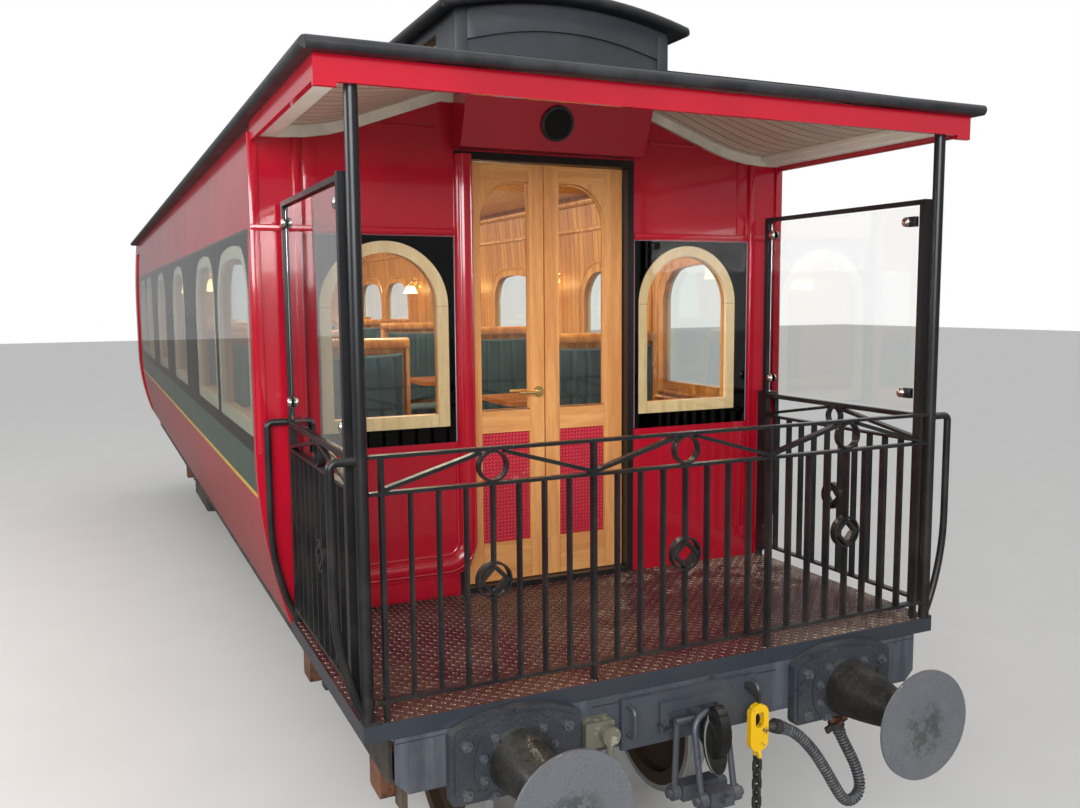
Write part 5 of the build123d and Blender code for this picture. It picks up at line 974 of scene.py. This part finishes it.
upright = {-1: Matrix.Rotation(radians(90), 4, "X")}
upright[1] = Matrix.Rotation(radians(180), 4, "Z") @ upright[-1]
seat_ends = Form(cabin_pine)
for side, hand in sides:
    middle_x = side * (seat_in_x + seat_w / 2)
    low_x, high_x = middle_x - seat_w / 2, middle_x + seat_w / 2
    for number, (back_y, facings) in enumerate(seat_row, 1):
        label = f"{hand}_{number}"
        back_middle_h = deck + cushion_h + back_high / 2 + 0.01
        for facing_y in facings:
            tag = f"{label}_{'front' if facing_y < 0 else 'rear'}"
            cushion_y = back_y + facing_y * (back_t / 2 + cushion_d / 2)
            place_pad(f"seat_cushion_{tag}", cushion_pad,
                      (middle_x, cushion_y, deck + cushion_h - cushion_t / 2))
            place_pad(f"seat_back_{tag}", back_pad, (middle_x, back_y + facing_y * 0.040, back_middle_h),
                      upright[facing_y])
            seat_ends.block((low_x + 0.03, cushion_y - 0.19, deck + 0.012),
                            (high_x - 0.03, cushion_y + 0.19, deck + cushion_h - cushion_t - 0.002), 0.006)
        if len(facings) == 1:
            outer = -facings[0]
            place_pad(f"seat_back_{label}_outer", back_pad, (middle_x, back_y + outer * 0.040, back_middle_h),
                      upright[outer])
        for end_x in (low_x + 0.012, high_x - 0.012):
            shape = half_end(1, 1 in facings) + half_end(-1, -1 in facings)[::-1]
            seat_ends.prism(shape, lambda u, v: (end_x - 0.011, back_y + u, deck + v), (0.022, 0, 0), 0.003)
        cap = arc((0, back_high_h - 0.022), 0.050, 0, 180, 10)
        cap += [(-0.050, back_high_h - 0.045), (0.050, back_high_h - 0.045)]
        cap = [(u, min(v, back_high_h + 0.012)) for u, v in cap]
        seat_ends.prism(cap, lambda u, v: (low_x, back_y + u, deck + v), (seat_w, 0, 0), 0.004)
        seat_ends.block((low_x + 0.025, back_y - 0.012, deck + 0.35),
                        (high_x - 0.025, back_y + 0.012, deck + back_high_h - 0.04))
seat_ends.piece("seat_frames", coach, 35, ("seats",))

# Wall lamps: two tulip shades on scrolled brass arms at every pier
lamp_h, arm_out = 1.560, 0.05
tulip = [(0.012, -0.010), (0.026, -0.018), (0.038, -0.040), (0.046, -0.066), (0.060, -0.092), (0.057, -0.092),
         (0.043, -0.064), (0.035, -0.040), (0.023, -0.021), (0.012, -0.014), (0.012, -0.010)]
bulb = [(0, -0.022), (0.012, -0.03), (0.018, -0.045), (0.013, -0.060), (0, -0.066)]
lamp_metal, lamp_shades = Form(brass), Form(lamp_glow)
for side in (-1, 1):
    for pier_y in pier_ys:
        inward = Vector((-side, 0, 0))
        base = Vector((side * side_x(lamp_h, side_t), pier_y, deck + lamp_h))
        foot = base + inward * arm_out
        lamp_metal.lathe([(0, 0), (0.046, 0), (0.044, 0.006), (0.030, 0.011), (0.016, 0.016), (0, 0.017)],
                         base, inward, 20)
        ring = [foot + Vector((0, u, v)) for u, v in arc((0, arm_out), 0.040, 0, 342, 19)]
        lamp_metal.tube(ring, 0.0035, 6, closed=True)
        lamp_metal.tube([base + inward * 0.012, foot, foot + Vector((0, 0, 0.012))], 0.006, 8)
        for way in (-1, 1):
            curl = [foot + inward * (0.06 * t) + Vector((0, way * (0.065 * t), 0.03 * sin(pi * t)))
                    for t in (k / 8 for k in range(9))]
            lamp_metal.tube(curl, 0.005, 8)
            lamp_metal.lathe([(0, 0.012), (0.016, 0.008), (0.018, -0.008), (0.012, -0.016)], curl[-1],
                             (0, 0, 1), 14)
            lamp_shades.lathe(tulip, curl[-1], (0, 0, 1), 20)
            lamp_shades.lathe(bulb, curl[-1], (0, 0, 1), 10)
lamp_metal.piece("wall_lamp_arms", coach, 50, ("wall_lamps",))
lamp_shades.piece("wall_lamp_shades", coach, 60, ("wall_lamps",))

# Mouldings on the end wall that faces the balcony
wall_trim = Form(crimson)
for side in (-1, 1):
    for inner, outer, low, high, proud, edge in (
            (0.478, 1.384, 1.697, 1.725, 0.014, 0.004), (0.560, 1.168, 2.160, 2.176, 0.008, 0.003),
            (1.172, 1.200, 0.160, 2.150, 0.016, 0.004), (1.345, 1.386, 0.744, 2.100, 0.012, 0.004),
            (1.098, 1.156, 1.727, 2.160, 0.005, 0.0015), (1.098, 1.156, 0.162, 0.736, 0.005, 0.0015)):
        wall_trim.board(side, inner, outer, wall_y - proud, wall_y, low, high, edge)
wall_trim.piece("end_wall_mouldings", coach)

# Half-round pillar beside the doors: it bends at its foot and runs out along the plinth
pillar_x, pillar_r, pillar_top_h = -0.431, 0.045, 2.060
bend_centre, bend_r = (-0.541, 0.265), 0.110
plinth_h, pillar_tip_x = 0.155, -1.172
round_angles = [radians(a) for a in (30, 60, 80)]
pillar = Form(crimson)
pillar.block((-1.229, wall_y - 0.022, deck + 0.012), (-0.500, wall_y + 0.001, deck + 0.150), 0.004)
pillar_line = [(pillar_x, pillar_top_h), (pillar_x, 1.2), (pillar_x, 0.42),
               *arc(bend_centre, bend_r, 0, -90, 10), (-0.75, plinth_h), (-1.0, plinth_h),
               (pillar_tip_x, plinth_h)]
round_end = [(pillar_tip_x - pillar_r * sin(a), plinth_h) for a in round_angles]
pillar.tube([(u, wall_y, deck + v) for u, v in pillar_line + round_end],
            [pillar_r] * len(pillar_line) + [pillar_r * cos(a) for a in round_angles], 20)
inner_bead = [(-0.479, 0.734), *arc(bend_centre, 0.062, 0, -90, 8), (-1.205, 0.203)]
lower_bead = [*arc(bend_centre, 0.158, -32, -90, 8), (-1.205, 0.107)]
for line, r in ((inner_bead, 0.007), (lower_bead, 0.006)):
    pillar.tube([(u, wall_y - (0.022 if v < plinth_h else 0.003), deck + v) for u, v in line], r, 8)
for shift in (-0.026, 0.026):
    flute = [(pillar_x + shift, pillar_top_h - 0.002), *arc(bend_centre, bend_r + shift, 0, -90, 10),
             (-1.190, plinth_h - shift)]
    pillar.tube([(u, wall_y - 0.0367, deck + v) for u, v in flute], 0.0055, 8)
pillar.piece("door_pillar_moulding", coach, 40, ("door_pillar",))

# Bright strips at the edges of the dark panes beside the doors
pane_edges = Form(bolt_steel)
for side in (-1, 1):
    corners = ((0.4795, 0.742), (0.4795, 1.6885), (1.1685, 1.6885), (1.1685, 0.742))
    pane_edges.tube([(side * u, wall_y - 0.0015, deck + v) for u, v in corners], 0.0028, 6)
pane_edges.piece("pane_edge_strips", coach)

# Round speaker mesh, and a black lip round it
speaker_lean = atan2(0.100, 0.2668)
speaker_out = Vector((0, -cos(speaker_lean), -sin(speaker_lean)))
speaker_middle = Vector((-0.020, wall_y - 0.150, deck + 2.2005)) + speaker_out * 0.0085
speaker = Form(speaker_mesh, gutter_black)
speaker.lathe([(0, 0.006), (0.030, 0.0052), (0.055, 0.003), (0.0675, 0.0), (0.0675, -0.004), (0, -0.004)],
              speaker_middle, speaker_out, 40)
speaker.shade = 1
speaker.lathe([(0.066, -0.004), (0.081, -0.004), (0.081, 0.002), (0.078, 0.0045), (0.069, 0.0045),
               (0.066, 0.001), (0.066, -0.004)], speaker_middle, speaker_out, 48)
speaker.piece("speaker_mesh_disc", coach, 50, ("speaker_grille",))

# Stepped soffit boards along both sides of the canopy
soffit = Form(cream_trim)
for side in (-1, 1):
    for inner, outer, low in ((1.262, 1.3525, 2.088), (1.234, 1.264, 2.112)):
        soffit.board(side, inner, outer, -5.5735, wall_y, low, 2.136, 0.004)
soffit.piece("canopy_soffit_boards", coach)

# Kick panels of chequer plate and glazing beads, one set for each leaf
light_r = 0.190
for side, leaf in sides:
    grow(f"kick_plate_{leaf}", tread_tree, [((0, 0, 0), (0, 0, 1))], f"door_{leaf}", Width=0.229, Depth=0.513,
         Columns=14, Rows=30, Bar_Length=0.021, Bar_Width=0.0065, Rise=0.003, Cross=0.0,
         Centre=(side * leaf_middle, leaf_face_y - 0.0005, deck + 0.490), Turn=(radians(90), 0, 0),
         Finish=kick_tread)
    beads = Form(honey_pine)
    light = [(side * leaf_inner, light_low_h), (side * leaf_outer, light_low_h)]
    light += [(side * u, v) for u, v in arc((leaf_outer - light_r, light_high_h - light_r), light_r, 0, 90, 10)]
    light += [(side * leaf_inner, light_high_h)]
    centre = Vector((side * leaf_middle, (light_low_h + light_high_h) / 2))
    inset = [Vector(p) + (centre - Vector(p)).normalized() * 0.007 for p in light]
    for face_y in (leaf_face_y, leaf_face_y + 0.014):
        beads.tube([(u, face_y, deck + v) for u, v in inset], 0.0045, 6, closed=True)
    kick = ((leaf_inner, kick_low_h), (leaf_outer, kick_low_h), (leaf_outer, kick_high_h),
            (leaf_inner, kick_high_h))
    beads.tube([(side * u, leaf_face_y - 0.004, deck + v) for u, v in kick], 0.003, 4, closed=True)
    beads.piece(f"door_beads_{leaf}", f"door_{leaf}")

# Screen clamps on the gates: black patches with bright round buttons through the glass
screen_x = 1.252
for side, gate in sides:
    patches, buttons = Form(ironwork), Form(bright_steel)
    for at_y, far_y in ((-5.388, -5.438), (-4.468, -4.418)):
        for z in (deck + 1.722, deck + 0.975):
            for face in (-1, 1):
                x = side * screen_x + face * 0.008
                patches.block((x - 0.004, min(at_y, far_y), z - 0.022), (x + 0.004, max(at_y, far_y), z + 0.022),
                              0.002)
                buttons.lathe([(0, 0.014), (0.012, 0.013), (0.020, 0.009), (0.0215, 0.004), (0.0215, 0.0)],
                              (side * screen_x + face * 0.012, at_y, z), (face, 0, 0), 20)
    patches.piece(f"screen_clamps_{gate}", f"gate_{gate}")
    buttons.piece(f"screen_buttons_{gate}", f"gate_{gate}", 50)

# Bolts of the buffer castings
flange_h, flange_r, casting_hs = -0.205, 0.140, (-0.113, -0.289)
casting_bolts, flange_bolts = [], []
for end in (-1, 1):
    for x0 in (-buffer_x, buffer_x):
        casting_bolts += [((x0 + dx, end * (beam_y + 0.038), deck + h), (0, end, 0))
                          for dx in (-0.193, 0.193) for h in casting_hs]
        for angle in (16, 49, 131, 164, 196, 229, 311, 344):
            dx, dz = flange_r * cos(radians(angle)), flange_r * sin(radians(angle))
            flange_bolts.append(((x0 + dx, end * (beam_y + 0.045), deck + flange_h + dz), (0, end, 0)))
grow("casting_bolts", bolt_tree, casting_bolts, coach, Head_Width=0.036, Head_Height=0.018, Washer=0.004,
     Stud=0.018, Finish=bolt_grey)
grow("flange_bolts", bolt_tree, flange_bolts, coach, Head_Width=0.029, Head_Height=0.015, Washer=0.003,
     Stud=0.014, Finish=bolt_grey)

# Chequer bars over the balcony deck
grow("deck_tread_bars", tread_tree, [((0, 0, 0), (0, 0, 1))], coach, Width=2.50, Depth=1.19, Columns=98,
     Rows=46, Bar_Length=0.024, Bar_Width=0.008, Rise=0.003, Centre=(0, -4.966, deck + 0.0006),
     Turn=(0, 0, 0), Finish=deck_tread)

# Clerestory ends: stiles and an arched head in slate, and a rolled edge round every roof
eave_x, eave_end_y, eave_line_h = 1.400, 5.6305, 2.166
top_x, top_end_y, top_line_h, top_crown = 0.600, 4.6205, 2.640, 0.087
panel_x, panel_y = 0.478, 4.5505
roof_trim, end_panels = Form(gutter_black), Form(slate_panel)
for end in (-1, 1):
    near_y, far_y = sorted((end * panel_y, end * (panel_y + 0.014)))
    for side in (-1, 1):
        end_panels.board(side, panel_x, 0.535, near_y, far_y, 2.400, 2.620, 0.003)
    across = [panel_x * (k / 8 - 1) for k in range(17)]
    outline = [(x, 2.622 + top_crown * (1 - (x / top_x) ** 2) - 0.010) for x in across]
    outline += [(x, 2.515 + 0.075 * (1 - (x / panel_x) ** 2)) for x in across[::-1]]
    end_panels.prism(outline, lambda u, v: (u, near_y, deck + v), (0, far_y - near_y, 0), 0.003)
    across = [top_x * (k / 12 - 1) for k in range(25)]
    roof_trim.tube([(x, end * top_end_y, deck + top_line_h + top_crown * (1 - (x / top_x) ** 2))
                    for x in across], 0.021, 10)
    roof_trim.tube([(x, end * eave_end_y, deck + eave_line_h) for x in (-eave_x, eave_x)], 0.021, 10)
for side in (-1, 1):
    for x, end_y, line_h, r in ((eave_x, eave_end_y, eave_line_h, 0.021), (top_x, top_end_y, top_line_h, 0.020)):
        roof_trim.tube([(side * x, y, deck + line_h) for y in (-end_y, end_y)], r, 10)
roof_trim.piece("rolled_roof_edges", coach, 50)
end_panels.piece("clerestory_end_panels", coach)

# Arched architraves round the windows inside the saloon, a dado rail and a cornice
arch_out = 0.012
arch_r = window_corner_r + arch_out
inside_trim = Form(cabin_pine)
for side in (-1, 1):
    for centre, half in window_ys:
        half += arch_out
        outline = [(centre - half, window_low_h - arch_out), (centre + half, window_low_h - arch_out),
                   *arc((centre + half - arch_r, window_spring_h), arch_r, 0, 90, 10),
                   *arc((centre - half + arch_r, window_spring_h), arch_r, 90, 180, 10)]
        inside_trim.tube([(side * (side_x(v, side_t) - 0.004), u, deck + v) for u, v in outline], 0.016, 6,
                         closed=True)
    for h, r in ((0.760, 0.014), (1.900, 0.018), (2.100, 0.028)):
        inside_trim.tube([(side * (side_x(h, side_t) - 0.002), y, deck + h)
                          for y in (wall_back_y + 0.004, partition_y - 0.024)], r, 8)
inside_trim.piece("saloon_mouldings", coach, 50)

# Rear end: beads at the waist and over the windows' height, and strips beside the gangway door
rear_trim = Form(crimson)
for side in (-1, 1):
    for inner, outer, low, high, proud, edge in (
            (0.372, 1.372, waist_h - 0.014, waist_h + 0.014, 0.012, 0.004),
            (0.372, 1.362, 1.697, 1.727, 0.014, 0.004), (0.372, 1.352, 2.085, 2.103, 0.008, 0.004),
            (0.384, 0.424, 0.060, 2.085, 0.010, 0.003), (1.040, 1.080, 0.060, 2.085, 0.010, 0.003)):
        rear_trim.board(side, inner, outer, rear_y - 0.001, rear_y + proud, low, high, edge)
rear_trim.piece("rear_end_mouldings", coach)

# Panes in the vestibule doors and the end door, with their lever handles
pane_half, pane_low_h, lever_h = 0.232, 0.998, 0.95
vestibule_y, vestibule_pane_x, end_pane_y = 4.9355, 1.1998, 5.5205


def lever(form, foot, out, along, neck, reach):
    """A round rose and a lever that stands off the door."""
    foot, out, along = Vector((*foot, deck + lever_h)), Vector(out), Vector(along)
    form.lathe([(0, 0), (0.026, 0), (0.026, 0.006), (0.012, 0.010), (0.010, neck), (0, neck)], foot, out, 18)
    form.tube([foot + out * (reach + a) + along * b + Vector((0, 0, c))
               for a, b, c in ((0, 0, 0), (0.002, 0.045, 0.001), (0, 0.100, -0.005))], 0.007, 10)


for side, leaf in sides:
    pane, handle = Form(coach_glass), Form(brass)
    x = side * vestibule_pane_x
    pane.block((x - 0.003, vestibule_y - pane_half, deck + pane_low_h),
               (x + 0.003, vestibule_y + pane_half, deck + 1.912))
    pane.piece(f"vestibule_pane_{leaf}", f"vestibule_door_{leaf}")
    lever(handle, (side * 1.2178, 4.675), (side, 0, 0), (0, 1, 0), 0.034, 0.030)
    handle.piece(f"vestibule_handle_{leaf}", f"vestibule_door_{leaf}", 50)
pane, handle = Form(coach_glass), Form(brass)
pane.block((-pane_half, end_pane_y - 0.003, deck + pane_low_h), (pane_half, end_pane_y + 0.003, deck + 1.902))
pane.piece("end_door_pane", "end_door")
lever(handle, (-0.270, 5.5385), (0, 1, 0), (1, 0, 0), 0.030, 0.027)
handle.piece("end_door_handle", "end_door", 50)

# Pale floor, white background for the camera, and soft light from the near side
ground = bpy.data.meshes.new("ground")
ground.from_pydata([(-60, -60, 0), (60, -60, 0), (60, 60, 0), (-60, 60, 0)], [], [(0, 1, 2, 3)])
floor_sheet = bpy.data.objects.new("ground", ground)
scene.collection.objects.link(floor_sheet)
pale = Finish("pale ground", Roughness=0.9)
paths = put(pale.tree, "ShaderNodeLightPath")
mirrored = (paths["Is Glossy Ray"] - paths["Is Transmission Ray"]).held()
mottled = mix(speckle(pale.place, 2.0), tone(214, 212, 208), tone(222, 220, 216))
feed(pale.tree, pale.sockets, {"Base Color": mix(mirrored, mottled, tone(112, 106, 100))})
ground.materials.append(pale.material)

# The gloss sees the background dimmed towards the horizon, so that the sides keep their colour
world = bpy.data.worlds.new("studio")
world.use_nodes = True
scene.world = world
sky = world.node_tree
rays = put(sky, "ShaderNodeLightPath")
clear = rays["Is Camera Ray"] | rays["Is Transmission Ray"]
height = put(sky, "ShaderNodeSeparateXYZ", {0: put(sky, "ShaderNodeTexCoord", out="Generated")}, 2)
dimmed = put(sky, "ShaderNodeMix", {0: rays["Is Glossy Ray"], 2: 0.72, 3: height.fade(0.0, 0.8, 0.28, 1.1)})
feed(sky, sky.nodes["Background"].inputs, {
    "Color": mix(clear | rays["Is Glossy Ray"], (0.94, 0.97, 1.0, 1), (1, 1, 1, 1)),
    "Strength": put(sky, "ShaderNodeMix", {0: clear, 2: dimmed, 3: 1.0})})


def soft_lamp(name, place, target, size, power, colour=(1, 1, 1)):
    """A soft rectangular light that looks at a target."""
    glow = bpy.data.lights.new(name, "AREA")
    glow.shape = "RECTANGLE"
    glow.size, glow.size_y = size
    glow.energy = power
    glow.color = colour
    lamp = bpy.data.objects.new(name, glow)
    lamp.location = place
    lamp.rotation_euler = (Vector(target) - Vector(place)).to_track_quat("-Z", "Y").to_euler()
    scene.collection.objects.link(lamp)


soft_lamp("front_softbox", (-4.2, -13.0, 4.6), (0, -5.0, 1.8), (6, 3.5), 760)
soft_lamp("side_softbox", (-9.0, -2.0, 4.5), (-1.4, -1.0, 1.6), (8, 3), 500)
for n, y in enumerate((-3.4, -1.738, 0.0, 1.738, 3.4)):
    soft_lamp(f"cabin_light_{n}", (0, y, deck + 2.40), (0, y, deck), (0.6, 0.6), 34, (1.0, 0.88, 0.66))
